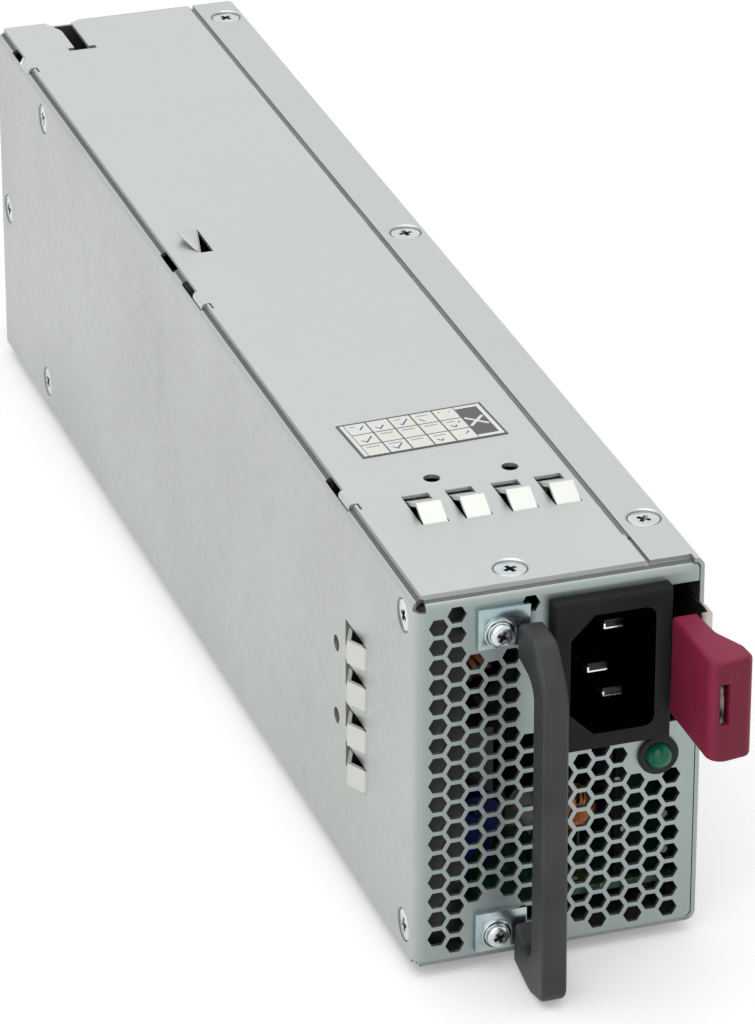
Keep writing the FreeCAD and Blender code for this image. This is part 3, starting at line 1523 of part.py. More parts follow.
def secondary_side():
    """Rectifiers on their heatsink, output choke and output capacitors."""
    sink_x = across(mm.secondary_sink_across)
    start = along(mm.secondary_sink_front)
    node("secondary_heatsink",
         finned_sink(sink_x, (start, start + fitted(mm.secondary_sink_length)),
                     fitted(mm.secondary_sink_height), 6))
    node("output_rectifiers",
         gathered([package(sink_x, start + fitted(offset), mm.rectifier_length,
                           mm.rectifier_height, 3)
                   for offset in (mm.rectifier_start, mm.rectifier_start + mm.rectifier_pitch)]))
    build = fitted(mm.wire_build)
    outer = fitted(mm.output_choke_radius)
    x = across(mm.output_choke_across)
    y = along(mm.output_choke_depth)
    half_gap = mm.winding_gap / 2
    gap = box((x, x + outer + build + mm.margin), (y - half_gap, y + half_gap),
              (board_top - mm.margin, board_top + 2 * outer))
    node("output_choke_winding",
         wound_ring("output_choke", "+z", (x, y, board_top + build), outer, outer / 2, outer, [gap]))
    node("output_capacitors",
         gathered([upright_can(across(mm.output_can_across),
                               along(mm.output_can_depth + index * mm.output_can_pitch),
                               mm.small_can_radius, mm.small_can_height) for index in range(3)]))


def control_board():
    """Upright card with three chips, beside the transformer."""
    face = across(mm.card_across) + fitted(mm.card_gauge)
    start = along(mm.card_front)
    card = box((across(mm.card_across), face), (start, start + fitted(mm.card_length)),
               (board_top, board_top + fitted(mm.card_height)))
    size = fitted(mm.chip_size)
    chips = []
    for offset, lift in ((mm.chip_first, mm.chip_low), (mm.chip_second, mm.chip_high),
                         (mm.chip_third, mm.chip_low)):
        y = start + fitted(offset)
        z = board_top + fitted(lift)
        chips.append(box((face, face + fitted(mm.chip_thick)), (y, y + size), (z, z + size)))
    return node("control_board", fused([card] + chips))


def output_busbars():
    """Two flat bars that carry the output under the fan to the card edge."""
    outer = board_edge - mm.standoff_inset - mm.pan_head - mm.fit_gap
    bars = [box(limits, (fan_start - mm.margin, back - mm.busbar_end),
                (board_top, board_top + mm.busbar_thick))
            for limits in ((-outer, mm.busbar_width - outer), (outer - mm.busbar_width, outer))]
    return node("output_busbars", gathered(bars))


# ---------------------------------------------------------------- fan

def fan_frame():
    """Square frame with a bearing on four struts."""
    z = mm.fan_height
    half = fitted(mm.fan_size) / 2
    hub_radius = fitted(mm.hub_radius)
    shell = box((-half, half), (fan_start, fan_end), (z - half, z + half))
    duct = rod("+y", (0.0, fan_start - mm.margin, z), duct_radius,
               fan_end - fan_start + 2 * mm.margin)
    holes = [rod("+y", (x, fan_start - mm.margin, hole_z), mm.fan_hole_radius,
                 fan_end - fan_start + 2 * mm.margin) for x, hole_z in fan_holes()]
    hub = rod("+y", (0.0, fan_end - mm.hub_plate, z), hub_radius, mm.hub_plate)
    reach = duct_radius + mm.strut_root
    inner = hub_radius / 2
    strut_y = (fan_end - mm.strut_thick, fan_end)
    half_strut = mm.strut_width / 2
    struts = []
    for low, high in ((inner, reach), (-reach, -inner)):
        struts.append(box((low, high), strut_y, (z - half_strut, z + half_strut)))
        struts.append(box((-half_strut, half_strut), strut_y, (z + low, z + high)))
    bearing = rod("+y", (0.0, fan_end - mm.hub_plate - mm.margin, z),
                  mm.axle_radius + mm.axle_gap, mm.hub_plate)
    open_frame = without(shell, [duct] + holes)
    return node("fan_frame", without(fused([open_frame, hub] + struts), [bearing]))


def fan_rotor():
    """Hub with an axle and twisted blades."""
    z = mm.fan_height
    start = fan_start + mm.blade_gap
    end = fan_end - mm.hub_plate - mm.blade_gap
    hub = rod("+y", (0.0, start, z), fitted(mm.hub_radius), end - start)
    axle = rod("+y", (0.0, end - mm.margin, z), mm.axle_radius,
               mm.margin + mm.blade_gap + mm.hub_plate - mm.margin)
    return node("fan_rotor", fused([hub, axle, blades(start + mm.blade_inset, end, z)]))


def blades(start, end, height):
    """Seven twisted blades between the hub and the duct, each lofted from root to tip."""
    count = 7
    length = number(end) - number(start)
    root = number(fitted(mm.hub_radius)) - number(mm.blade_inset)
    tip = number(duct_radius) - number(mm.blade_gap)
    middle = (number(start) + number(end)) / 2
    solids = []
    for index in range(count):
        sections = []
        for radius, pitch in ((root, number(mm.root_pitch)), (tip, number(mm.tip_pitch))):
            chord = length / math.sin(math.radians(pitch)) * number(mm.blade_share)
            run = FreeCAD.Vector(math.cos(math.radians(pitch)), math.sin(math.radians(pitch)), 0)
            side = FreeCAD.Vector(-run.y, run.x, 0) * (number(mm.blade_thick) / 2)
            half = run * (chord / 2)
            corners = [half + side, side - half, side * -1 - half, half - side]
            points = [FreeCAD.Vector(corner.x, corner.y, radius) for corner in corners]
            sections.append(Part.makePolygon(points + points[:1]))
        blade = Part.makeLoft(sections, True, True)
        blade.rotate(FreeCAD.Vector(0, 0, 0), FreeCAD.Vector(0, 1, 0), index * 360.0 / count)
        blade.translate(FreeCAD.Vector(0, middle, number(height)))
        solids.append(blade)
    swept = Part.makeCylinder(tip, length, FreeCAD.Vector(0, number(start), number(height)),
                              FreeCAD.Vector(0, 1, 0))
    wheel = doc.addObject("Part::Feature", "Blades")
    wheel.Shape = Part.makeCompound([solid.common(swept) for solid in solids])
    return wheel


def fan_screws():
    """Screws through the bracket into the corners of the fan."""
    screws = []
    for x, z in fan_holes():
        seat = fan_end + mm.gauge
        head = rod("+y", (x, seat, z), mm.fan_screw_head, mm.pan_head_height)
        shank = rod("-y", (x, seat, z), mm.screw_shank, mm.fan_screw_length)
        screws.append(fused([head, shank]))
    return node("fan_screws", gathered(screws))


# ---------------------------------------------------------------- build, check and write

def build():
    left_front_shell()
    right_bottom_shell()
    top_panel()
    rear_panel()
    fan_bracket()
    case_screws()
    rating_label()
    handle_bracket("upper_handle_bracket", bracket_lows[0], UPPER_SCREW)
    handle_bracket("lower_handle_bracket", bracket_lows[1], LOWER_SCREW)
    handle_grip()
    handle_screws()
    inlet_housing()
    inlet_pins()
    inlet_board()
    lamp()
    latch_arm()
    latch_lever()
    latch_rivets()
    main_board()
    edge_contacts()
    board_posts()
    insulation()
    fuse()
    front_capacitors()
    mains_choke()
    primary_side()
    transformer()
    secondary_side()
    control_board()
    output_busbars()
    fan_frame()
    fan_rotor()
    fan_screws()
    doc.recompute()


def check():
    """Stop at an object that failed or a sub-part with no sound shape."""
    for thing in doc.Objects:
        bad = [state for state in thing.State if state in ("Invalid", "Error")]
        if bad:
            raise RuntimeError("%s (%s) is %s" % (thing.Name, thing.Label, bad))
    for name, thing in NODES.items():
        shape = thing.Shape
        if shape.isNull() or not shape.isValid() or not shape.Solids:
            raise RuntimeError(name + " has no sound shape")


def write():
    os.makedirs("parts", exist_ok=True)
    for name, thing in NODES.items():
        thing.Shape.exportStep(os.path.join("parts", name + ".step"))


build()
check()
write()
for name, thing in NODES.items():
    bounds = thing.Shape.BoundBox
    print("%-24s %2d solids  %7.2f %7.2f %7.2f  %7.2f %7.2f %7.2f" % (
        name, len(thing.Shape.Solids), bounds.XMin, bounds.YMin, bounds.ZMin,
        bounds.XMax, bounds.YMax, bounds.ZMax))
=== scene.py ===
# %% [markdown]
# # A hot swap server power supply
# This long folded steel box slides into the back of a server. A mains inlet, a handle, a release
# lever, a status lamp and a honeycomb vent share its front, and a fan and a card edge its back.
# The solids come from a CAD model, so their sizes are right already. This lesson puts a camera
# and lights round them, mixes a finish for every piece, and replaces the pieces whose surface
# needs more than a plain solid.

import math
from contextlib import contextmanager

import bmesh
import bpy
from mathutils import Matrix, Vector


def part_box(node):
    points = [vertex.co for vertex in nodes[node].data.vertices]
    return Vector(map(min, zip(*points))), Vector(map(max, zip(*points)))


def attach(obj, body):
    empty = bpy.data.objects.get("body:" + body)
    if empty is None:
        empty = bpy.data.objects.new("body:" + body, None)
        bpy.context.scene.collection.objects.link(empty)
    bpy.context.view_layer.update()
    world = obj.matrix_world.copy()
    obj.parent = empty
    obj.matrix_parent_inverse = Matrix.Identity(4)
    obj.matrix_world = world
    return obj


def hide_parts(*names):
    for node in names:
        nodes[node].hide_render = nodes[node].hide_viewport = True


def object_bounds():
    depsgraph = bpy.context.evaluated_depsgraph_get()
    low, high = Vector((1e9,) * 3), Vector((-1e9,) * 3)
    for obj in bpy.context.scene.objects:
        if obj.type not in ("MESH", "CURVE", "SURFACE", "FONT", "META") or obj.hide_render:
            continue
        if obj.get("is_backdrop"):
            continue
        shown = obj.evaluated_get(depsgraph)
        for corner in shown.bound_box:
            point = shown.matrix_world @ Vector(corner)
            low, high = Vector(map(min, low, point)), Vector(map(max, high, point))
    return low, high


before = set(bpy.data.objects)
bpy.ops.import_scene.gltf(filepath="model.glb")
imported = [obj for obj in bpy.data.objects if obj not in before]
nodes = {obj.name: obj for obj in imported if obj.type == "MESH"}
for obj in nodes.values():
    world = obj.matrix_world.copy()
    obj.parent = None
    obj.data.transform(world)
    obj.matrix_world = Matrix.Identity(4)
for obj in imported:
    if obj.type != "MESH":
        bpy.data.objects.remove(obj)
cad_low, cad_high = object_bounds()
MM = 0.001
print("CAD nodes:", len(nodes), "size in mm:", [round(side / MM, 1) for side in cad_high - cad_low])

# %% [markdown]
# ## The camera
# The unit was seen from its front left, from well above, with a long lens that hardly makes its
# lines converge. It stands a little over a metre away. The lens is given for the long side of
# the frame, and the camera is turned so that its own -Z axis runs along the line of sight.

# %% Camera
LENS = 195.2
CAMERA_PLACE = Vector((-0.3110, -0.9693, 0.5352))
VIEW_DIRECTION = Vector((0.283, 0.846, -0.451)).normalized()

camera_data = bpy.data.cameras.new("camera")
camera_data.lens = LENS
camera_data.sensor_width = 36.0
camera_data.clip_start = 0.01
camera_data.clip_end = 50.0
camera = bpy.data.objects.new("camera", camera_data)
bpy.context.scene.collection.objects.link(camera)
camera.location = CAMERA_PLACE
camera.rotation_euler = VIEW_DIRECTION.to_track_quat("-Z", "Y").to_euler()
bpy.context.scene.camera = camera
print("camera is", round((CAMERA_PLACE - (cad_low + cad_high) / 2).length, 3), "m from the middle")

# %% [markdown]
# ## Shader arithmetic
# A material is a wiring diagram, which is long and hard to read node by node. Here a Wire stands
# for a number on its way through the diagram, and ordinary arithmetic on it adds Math nodes. A
# Finish is one material: it adds any other node by its kind, settings and socket values.

# %% Wires
class Wire:
    """A number on its way through a shader: arithmetic on it adds Math nodes."""

    def __init__(self, finish, socket):
        self.finish = finish
        self.socket = socket

    def math(self, operation, *values):
        return self.finish.add("ShaderNodeMath", {"operation": operation}, dict(enumerate(values)))

    def __rsub__(self, other):
        return self.math("SUBTRACT", other, self)

    def step(self, low, high):
        """A smooth rise from 0 at low to 1 at high."""
        return self.finish.add("ShaderNodeMapRange", {"interpolation_type": "SMOOTHSTEP"},
                               {"Value": self, "From Min": low, "From Max": high})


# "part" is what is left after the whole number, a ramp that repeats from 0 to 1.
MATH_NODES = {"__add__": "ADD", "__radd__": "ADD", "__sub__": "SUBTRACT", "__mul__": "MULTIPLY",
              "__rmul__": "MULTIPLY", "__truediv__": "DIVIDE", "__gt__": "GREATER_THAN",
              "__lt__": "LESS_THAN", "__abs__": "ABSOLUTE", "part": "FRACT",
              "least": "MINIMUM", "most": "MAXIMUM"}


def doing(operation):
    return lambda wire, *others: wire.math(operation, wire, *others)


for method, operation in MATH_NODES.items():
    setattr(Wire, method, doing(operation))
print("a wire has", len(MATH_NODES), "kinds of arithmetic")

# %% Finishes
class Finish:
    """One material, built up node by node round a single shader."""

    def __init__(self, name, **constants):
        self.material = bpy.data.materials.new(name)
        self.material.use_nodes = True
        self.tree = self.material.node_tree
        self.shader = self.tree.nodes["Principled BSDF"]
        self.place = self.add("ShaderNodeTexCoord", output="Object")
        self.set(**constants)
        print("finish:", name)

    def feed(self, socket, value):
        """Links a wire to a socket, or sets the socket to a number, a vector or a colour."""
        if isinstance(value, Wire):
            self.tree.links.new(value.socket, socket)
        elif socket.type == "RGBA":
            socket.default_value = (*value, 1)
        else:
            socket.default_value = value

    def add(self, kind, settings=None, values=None, output=0):
        """Adds a node: its settings first, then its sockets, and returns one output."""
        made = self.tree.nodes.new(kind)
        for name, value in (settings or {}).items():
            setattr(made, name, value)
        for name, value in (values or {}).items():
            self.feed(made.inputs[name], value)
        return Wire(self, made.outputs[output])

    def set(self, **sockets):
        """Sets the shader's own sockets: base_color means Base Color."""
        for name, value in sockets.items():
            title = name.replace("_", " ").title().replace("Ior", "IOR")
            self.feed(self.shader.inputs[title], value)

    def facing(self):
        """The three numbers of the direction that the surface faces, in the piece's own frame."""
        return self.axes(self.add("ShaderNodeTexCoord", output="Normal"))

    def moved(self, stretch=(1, 1, 1), centre=(0, 0, 0), turn=(0, 0, 0)):
        """The place on the piece, measured from a centre and divided by a stretch."""
        return self.add("ShaderNodeMapping", {"vector_type": "TEXTURE"},
                        {"Vector": self.place, "Location": centre, "Rotation": turn,
                         "Scale": stretch})

    def noise(self, size, detail=2.0, stretch=(1, 1, 1), rough=0.5):
        """Cloudy variation about 0.5, whose patches are about size metres across."""
        return self.add("ShaderNodeTexNoise", None,
                        {"Vector": self.moved(stretch), "Scale": 1 / size, "Detail": detail,
                         "Roughness": rough})

    def cells(self, size, output="Distance"):
        """Distance to the nearest of many scattered points, size metres apart."""
        return self.add("ShaderNodeTexVoronoi", None,
                        {"Vector": self.moved(), "Scale": 1 / size}, output)

    def axes(self, vector=None):
        """The three numbers of a place."""
        made = self.add("ShaderNodeSeparateXYZ", None, {"Vector": vector or self.place})
        return [Wire(self, socket) for socket in made.socket.node.outputs]

    def mix(self, first, second, amount):
        """A colour between two colours."""
        return self.add("ShaderNodeMix", {"data_type": "RGBA"},
                        {0: amount, 6: first, 7: second}, 2)

    def bump(self, height, depth, strength=1.0):
        """A normal that makes the surface look raised by height times depth metres."""
        return self.add("ShaderNodeBump", None,
                        {"Height": height, "Distance": depth, "Strength": strength})

# %% [markdown]
# ## Finding the pieces of a node
# A CAD node such as the cover screws is one mesh of several solids. Vertices that share an edge
# belong together, so walking from edge to edge finds each solid, and its lowest and highest
# corner say where it is. The finishes below need the places of the screws.

# %% Solids of a node
MERGED = 0.002 * MM         # vertices nearer than this are the same one


def solids_of(name):
    """Lowest and highest corner of each separate solid of a CAD node."""
    mesh = bmesh.new()
    mesh.from_mesh(nodes[name].data)
    bmesh.ops.remove_doubles(mesh, verts=mesh.verts, dist=MERGED)
    waiting = set(mesh.verts)
    boxes = []
    while waiting:
        island = [waiting.pop()]
        for vertex in island:
            for edge in vertex.link_edges:
                other = edge.other_vert(vertex)
                if other in waiting:
                    waiting.remove(other)
                    island.append(other)
        places = [vertex.co for vertex in island]
        low = Vector([min(place[axis] for place in places) for axis in range(3)])
        high = Vector([max(place[axis] for place in places) for axis in range(3)])
        boxes.append((low, high))
    mesh.free()
    return sorted(boxes, key=lambda pair: tuple(round(number, 4) for number in pair[0]))


def middle_of(name):
    return sum(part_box(name), Vector()) / 2


def tops(name, way):
    """The middle of the face that looks one way, on each solid of a node."""
    direction = Vector(way)
    return [(low + high) / 2 + direction * abs((high - low).dot(direction)) / 2
            for low, high in solids_of(name)]


FLUSH = tops("top_screws", (0, 0, 1)) + tops("side_screws", (-1, 0, 0))
print("flush screws:", len(FLUSH))

# %% [markdown]
# ## Zinc-plated sheet
# The case is thin steel with a bright, satin zinc coat: soft clouds drift over it, a faint grain
# runs the way that the sheet was rolled, and small crystals of zinc catch the light a little
# differently. Handling leaves a few dull smudges. The grain is mostly in the roughness and a very
# shallow bump, so it shows in reflections rather than as paint.
#
# The rest depends on where a point of the sheet is and which way it faces. Shears leave bare,
# dark steel on the cut edges of the walls and the cover, and a dark ring of painted shade lies
# round each countersunk screw. Faces that look up are given a paler painted light, and faces of the
# front panel that look ahead a darker painted shade. The lanced spring fingers are paler where they
# rise out of the sheet, and the inside is painted dark grey as painted shade, and is matt.

# %% Places on the case
_, FRONT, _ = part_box("right_bottom_shell")[0]
WALL, BACK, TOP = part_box("right_bottom_shell")[1]
SHEET = 0.8 * MM
print("wall, front, back and top in mm:", [round(at / MM, 2) for at in (WALL, FRONT, BACK, TOP)])


def within(value, low, high):
    """1 where a wire lies between two numbers."""
    return (value > low) * (value < high)

# %% Zinc sheet
BARE_STEEL = (0.24, 0.25, 0.24)
INSIDE_SHADE = (0.11, 0.115, 0.11)
RAISED_PALE = (0.66, 0.665, 0.625)
SCREW_GAP_SHADE = (0.10, 0.105, 0.10)
SCREW_RIM = (2.85 * MM, 3.28 * MM)      # inner and outer radius of the dark rim
RISE = (0.02 * MM, 0.35 * MM)           # a finger turns paler as it rises this far


def zinc(name, pale, dull, rough, shaded_front_tone, lit_top_tone, bare=0.7):
    """Zinc-plated sheet with painted light and shade: bare is how strongly its cut edges darken."""
    finish = Finish(name, metallic=1.0)
    across, along, height = finish.axes()
    side, ahead, up = [abs(part) for part in finish.facing()]
    clouds = finish.noise(0.045, 3.0)
    grain = finish.noise(0.0007, 2.0, stretch=(1, 14, 1))
    crystals = finish.add("ShaderNodeSeparateColor", None,
                          {"Color": finish.cells(0.0016, output="Color")})
    smudge = finish.noise(0.012, 4.0, rough=0.6).step(0.56, 0.72)
    blend = (clouds.step(0.32, 0.68) * 0.7 + crystals * 0.18 + grain * 0.25).least(1.0)
    thin = 0.06 * MM
    narrow = abs(across) < WALL - SHEET - thin
    low = height < TOP - SHEET - thin
    behind = along > FRONT + SHEET + thin
    cut_walls = within(abs(across), WALL - SHEET + thin, WALL - thin) * (side < 0.3) * low * behind
    cut_top = within(height, TOP - SHEET + thin, TOP - thin) * (up < 0.3) * narrow * behind
    cut_floor = (height < SHEET - thin) * (ahead > 0.9)
    cut = (cut_walls + cut_top + cut_floor).least(1.0)
    rim = 0.0
    for place in FLUSH:
        reach = finish.add("ShaderNodeVectorMath", {"operation": "DISTANCE"},
                           {0: finish.place, 1: place}, 1)
        rim = rim + within(reach, *SCREW_RIM)
    proud = (abs(across) - WALL).step(*RISE).most((height - TOP).step(*RISE))
    unseen = (abs(across) < WALL - SHEET + thin) * low
    inside = unseen * within(along, FRONT + SHEET - thin, BACK - SHEET + thin)
    panel_face = (along - FRONT).step(1.6 * MM, 0.3 * MM)
    # Faces that look up are mixed towards a paler tone: painted light.
    sheet = finish.mix(finish.mix(dull, pale, blend), lit_top_tone, up.step(0.5, 0.95) * 0.9)
    # Faces of the front panel that look ahead are mixed towards a darker tone: painted shade.
    sheet = finish.mix(sheet, shaded_front_tone, panel_face * ahead * 0.85)
    # The inside of the case is mixed towards dark grey: painted shade.
    sheet = finish.mix(sheet, INSIDE_SHADE, inside * 0.9)
    # Parts of the sheet that rise proud of the wall or the cover are mixed towards a paler tone.
    sheet = finish.mix(sheet, RAISED_PALE, proud * 0.7)
    # A dark ring round each flush screw: painted shade in the gap round its head.
    sheet = finish.mix(sheet, SCREW_GAP_SHADE, rim * 0.75)
    finish.set(base_color=finish.mix(sheet, BARE_STEEL, cut * bare),
               roughness=(rough + smudge * 0.10 + grain * 0.10 - crystals * 0.04
                          + inside * 0.2 + cut * 0.15),
               normal=finish.bump(grain + crystals * 0.3, 0.00002, 0.35))
    return finish.material


cover_zinc = zinc("zinc_cover", (0.585, 0.617, 0.605), (0.510, 0.540, 0.527), 0.36,
                  (0.50, 0.53, 0.52), (0.585, 0.615, 0.603), 0.35)
case_zinc = zinc("zinc_case", (0.500, 0.520, 0.500), (0.440, 0.458, 0.438), 0.40,
                 (0.300, 0.360, 0.350), (0.570, 0.600, 0.588))
inner_zinc = zinc("zinc_inner", (0.40, 0.41, 0.40), (0.32, 0.33, 0.32), 0.46,
                  (0.32, 0.33, 0.32), (0.40, 0.41, 0.40))

# %% [markdown]
# ## Screws, brackets and springs
# Fasteners and the two handle brackets have a harder, bluer zinc coat that is paler where it is
# thick. The spring leaf of the latch is plain hardened steel, brushed along its length, with
# painted shade and faint painted glints where it enters the lever. Leads and clips are tinned and
# so a little whiter, and the blades of the inlet are painted dark as painted shade, with a painted
# highlight along their lower edge and the foot of their left edge.

# %% Bright metals
def plated(name, colour, film, rough, size):
    """Plated metal in two tones, in patches of a size, with fine scratches."""
    finish = Finish(name, metallic=1.0)
    patches = finish.noise(size, 3.0)
    scratches = finish.noise(0.00025, 2.0, stretch=(1, 6, 1))
    finish.set(base_color=finish.mix(colour, film, patches.step(0.40, 0.75)),
               roughness=rough + patches * 0.12 + scratches * 0.08,
               normal=finish.bump(scratches, 0.00002, 0.3))
    return finish.material


def leaf():
    """Brushed steel, with painted shade and faint painted glints on the tongue that sits in the
    lever's slot.
    """
    finish = Finish("spring_steel", metallic=1.0)
    _, along, _ = finish.axes()
    brushed = finish.noise(0.0004, 2.0, stretch=(1, 12, 1))
    glint_patches = finish.noise(0.0016, 4.0, stretch=(1, 1, 2)).step(0.40, 0.62)
    # The tongue is painted near black with faint paler patches: painted shade with painted glints.
    tongue = along < FRONT - 8 * MM
    steel = finish.mix((0.44, 0.44, 0.42), (0.54, 0.53, 0.50), brushed)
    dark = finish.mix((0.018, 0.013, 0.013), (0.20, 0.17, 0.15), glint_patches)
    finish.set(base_color=finish.mix(steel, dark, tongue), roughness=0.24 + brushed * 0.14,
               normal=finish.bump(brushed, 0.00002, 0.3))
    return finish.material


def blade_metal():
    """Tinned blades, painted dark as painted shade, with a painted highlight along the lower edge
    and the foot of the left edge of each.
    """
    finish = Finish("shaded_blade_tin", metallic=1.0)
    across, _, height = finish.axes()
    cloud = finish.noise(0.0015, 3.0)
    # The lower edge and the foot of the left edge of each blade get a painted highlight.
    bright = 0.0
    for low, high in solids_of("inlet_pins"):
        foot = within(height, low.z - 0.1 * MM, low.z + 0.45 * MM)
        side = within(across, low.x - 0.1 * MM, low.x + 0.40 * MM)
        blade = within(across, low.x - 0.1 * MM, high.x + 0.1 * MM)
        bright = bright + foot * blade + side * within(height, low.z, low.z + 1.2 * MM)
    # The rest of each blade is painted near black: painted shade.
    dull = finish.mix((0.012, 0.012, 0.013), (0.045, 0.045, 0.048), cloud)
    finish.set(base_color=finish.mix(dull, (0.86, 0.86, 0.85), bright.least(1.0)),
               roughness=0.24 + cloud * 0.1)
    return finish.material


blue_zinc = plated("blue_zinc", (0.34, 0.44, 0.465), (0.54, 0.585, 0.57), 0.15, 0.005)
screw_zinc = plated("screw_zinc", (0.60, 0.66, 0.68), (0.74, 0.75, 0.71), 0.15, 0.003)
# The recess colour is painted shade: dark, with lighter patches as faint painted glints.
recess_shade_zinc = plated("recess_shade_zinc", (0.085, 0.090, 0.092), (0.40, 0.41, 0.41), 0.24, 0.0014)
spring_steel = leaf()
shaded_blade_tin = blade_metal()
tinned = plated("tinned", (0.66, 0.66, 0.65), (0.56, 0.56, 0.55), 0.24, 0.002)
gold = plated("gold_contact", (0.90, 0.62, 0.22), (0.80, 0.50, 0.16), 0.22, 0.002)
busbar = plated("plated_bar", (0.62, 0.60, 0.56), (0.52, 0.50, 0.47), 0.28, 0.008)
fin_metal = plated("extruded_aluminium", (0.66, 0.67, 0.68), (0.56, 0.57, 0.59), 0.34, 0.010)

# %% [markdown]
# ## Moulded plastics
# A mould is spark-eroded, which leaves an even, very fine pebble on the plastic. Scuffs polish
# the tops of the pebbles, so they show as small pale, shinier marks. The handle is soft to the
# touch and rather dull, the inlet is glossy on its flange alone, and the lever is dyed a deep
# maroon, so that the part to press is found at once.

# %% Plastics
def plastic(name, colour, worn, rough, shine=0.5, scuffs=0.70, shaded_ahead_tone=None):
    """Pebbled plastic: fewer scuffs with a higher number, and a painted shade in another tone where
    it faces ahead.
    """
    finish = Finish(name, specular_ior_level=shine)
    tint = finish.noise(0.012, 2.0)
    grain = finish.noise(0.00022, 2.0)
    marks = finish.noise(0.0016, 5.0, stretch=(1, 1, 2.5), rough=0.65).step(scuffs, scuffs + 0.08)
    shade = finish.mix(colour, worn, (tint.step(0.3, 0.8) * 0.35 + marks * 0.6).least(1.0))
    # Faces that look ahead take another tone: painted shade.
    if shaded_ahead_tone:
        ahead = abs(finish.facing()[1]).step(0.6, 0.95)
        shade = finish.mix(shade, shaded_ahead_tone, ahead * 0.85)
    finish.set(base_color=shade, roughness=rough + grain * 0.10 - marks * 0.14,
               normal=finish.bump(grain, 0.00004, 0.5))
    return finish.material


handle_plastic = plastic("handle_black", (0.017, 0.018, 0.019), (0.060, 0.062, 0.064), 0.42,
                         shine=0.42)
# The lever's faces that look ahead take a darker maroon: painted shade.
maroon_plastic = plastic("lever_maroon", (0.225, 0.0135, 0.0470), (0.275, 0.026, 0.070),
                         0.46, shine=0.26, scuffs=0.78, shaded_ahead_tone=(0.145, 0.008, 0.026))
fan_plastic = plastic("fan_black", (0.012, 0.012, 0.013), (0.024, 0.024, 0.026), 0.42)
moulded_grey = plastic("moulded_grey", (0.020, 0.021, 0.023), (0.035, 0.036, 0.040), 0.45)
cased_film = plastic("film_capacitor", (0.016, 0.017, 0.018), (0.040, 0.040, 0.042), 0.34)
blue_ceramic = plastic("disc_capacitor", (0.004, 0.011, 0.080), (0.007, 0.022, 0.125), 0.34,
                       shine=0.14)
clip_plastic = plastic("clip_black", (0.007, 0.012, 0.010), (0.016, 0.022, 0.019), 0.34, 0.22)

# %% Socket plastic
# Hard black plastic that is darkest down in the socket, where no light reaches.
finish = Finish("inlet_black", specular_ior_level=0.0, coat_roughness=0.36)
across, along, height = finish.axes()
low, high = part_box("inlet_housing")
grain = finish.noise(0.00022, 2.0)
tint = finish.noise(0.008, 2.0)
middle = within(across, low.x + 1.3 * MM, high.x - 1.3 * MM) * within(
    height, low.z + 1.3 * MM, high.z - 1.3 * MM)
flange = abs(finish.facing()[1]).step(0.5, 0.8) * (along < low.y + 0.5 * MM)
deep = middle * (1 - flange)
skin = finish.mix((0.012, 0.012, 0.013), (0.022, 0.022, 0.024), tint)
finish.set(base_color=finish.mix(skin, (0.0006, 0.0006, 0.0007), deep),
           roughness=0.34 + grain * 0.08 + deep * 0.3, coat_weight=(1 - deep) * 0.20,
           normal=finish.bump(grain, 0.00003, 0.4))
inlet_plastic = finish.material

# %% [markdown]
# ## The lamp
# The lamp is a green diffused light-emitting diode, unlit. Its resin is tinted and slightly
# milky, in soft patches of two greens, while its dome stays glossy.

# %% Lamp resin
def resin():
    finish = Finish("lamp_green", roughness=0.14, ior=1.5, specular_ior_level=0.3)
    milk = finish.noise(0.0012, 2.0)
    finish.set(base_color=finish.mix((0.001, 0.100, 0.050), (0.002, 0.135, 0.074),
                                     milk.step(0.35, 0.7)),
               normal=finish.bump(milk, 0.00003, 0.2))
    return finish.material


lamp_resin = resin()

# %% [markdown]
# ## Printed boards
# A board is glass cloth in green lacquer. Copper tracks under the lacquer lift it a little and
# make it paler, in straight runs. Two sets of stripes, one along and one across, each broken up
# by blocks of noise, give runs that start and stop as real tracks do.

# %% Board lacquer
def board(name, lacquer_dark, lacquer_pale, shine, coat):
    """Lacquered board with straight tracks and round tinned pads."""
    finish = Finish(name, roughness=0.32, specular_ior_level=shine, coat_weight=coat,
                    coat_roughness=0.2)
    across, along, _ = finish.axes()
    weave = finish.noise(0.0006, 1.0)
    blocks = finish.noise(0.009, 1.0)
    runs = abs((across / 0.0026).part() - 0.5) < 0.17
    crossings = abs((along / 0.0031).part() - 0.5) < 0.15
    tracks = runs * (blocks > 0.52) + crossings * (blocks < 0.45)
    pads = finish.cells(0.0052) < 0.16
    lacquer = finish.mix(lacquer_dark, lacquer_pale, tracks.least(1.0))
    finish.set(base_color=finish.mix(lacquer, (0.52, 0.50, 0.46), pads * (blocks > 0.5)),
               normal=finish.bump(tracks + weave * 0.2, 0.00005, 0.5))
    return finish.material


board_lacquer = board("board_green", (0.006, 0.050, 0.019), (0.014, 0.090, 0.033), 0.5, 0.3)
# The lamp's board is painted near black and dull: painted shade inside the case.
shaded_lamp_board = board("board_dark", (0.0012, 0.0060, 0.0030), (0.003, 0.014, 0.007), 0.06, 0.0)

# %% [markdown]
# ## Insulation, ferrite, windings and sleeves
# The insulating sheets are black film with a faint ripple. Ferrite is a dull, granular ceramic.
# Winding wire is copper under a clear orange enamel. Capacitor cans wear a shrunk sleeve with a
# pale stripe on their negative side, and the transformer is wrapped in thin yellow tape whose
# turns show as fine lines.

# %% Film, ferrite and enamel
def film():
    finish = Finish("insulating_film", roughness=0.36)
    ripple = finish.noise(0.018, 2.0, stretch=(1, 2, 1))
    finish.set(base_color=finish.mix((0.012, 0.013, 0.015), (0.030, 0.032, 0.035), ripple),
               normal=finish.bump(ripple, 0.0006, 0.4))
    return finish.material


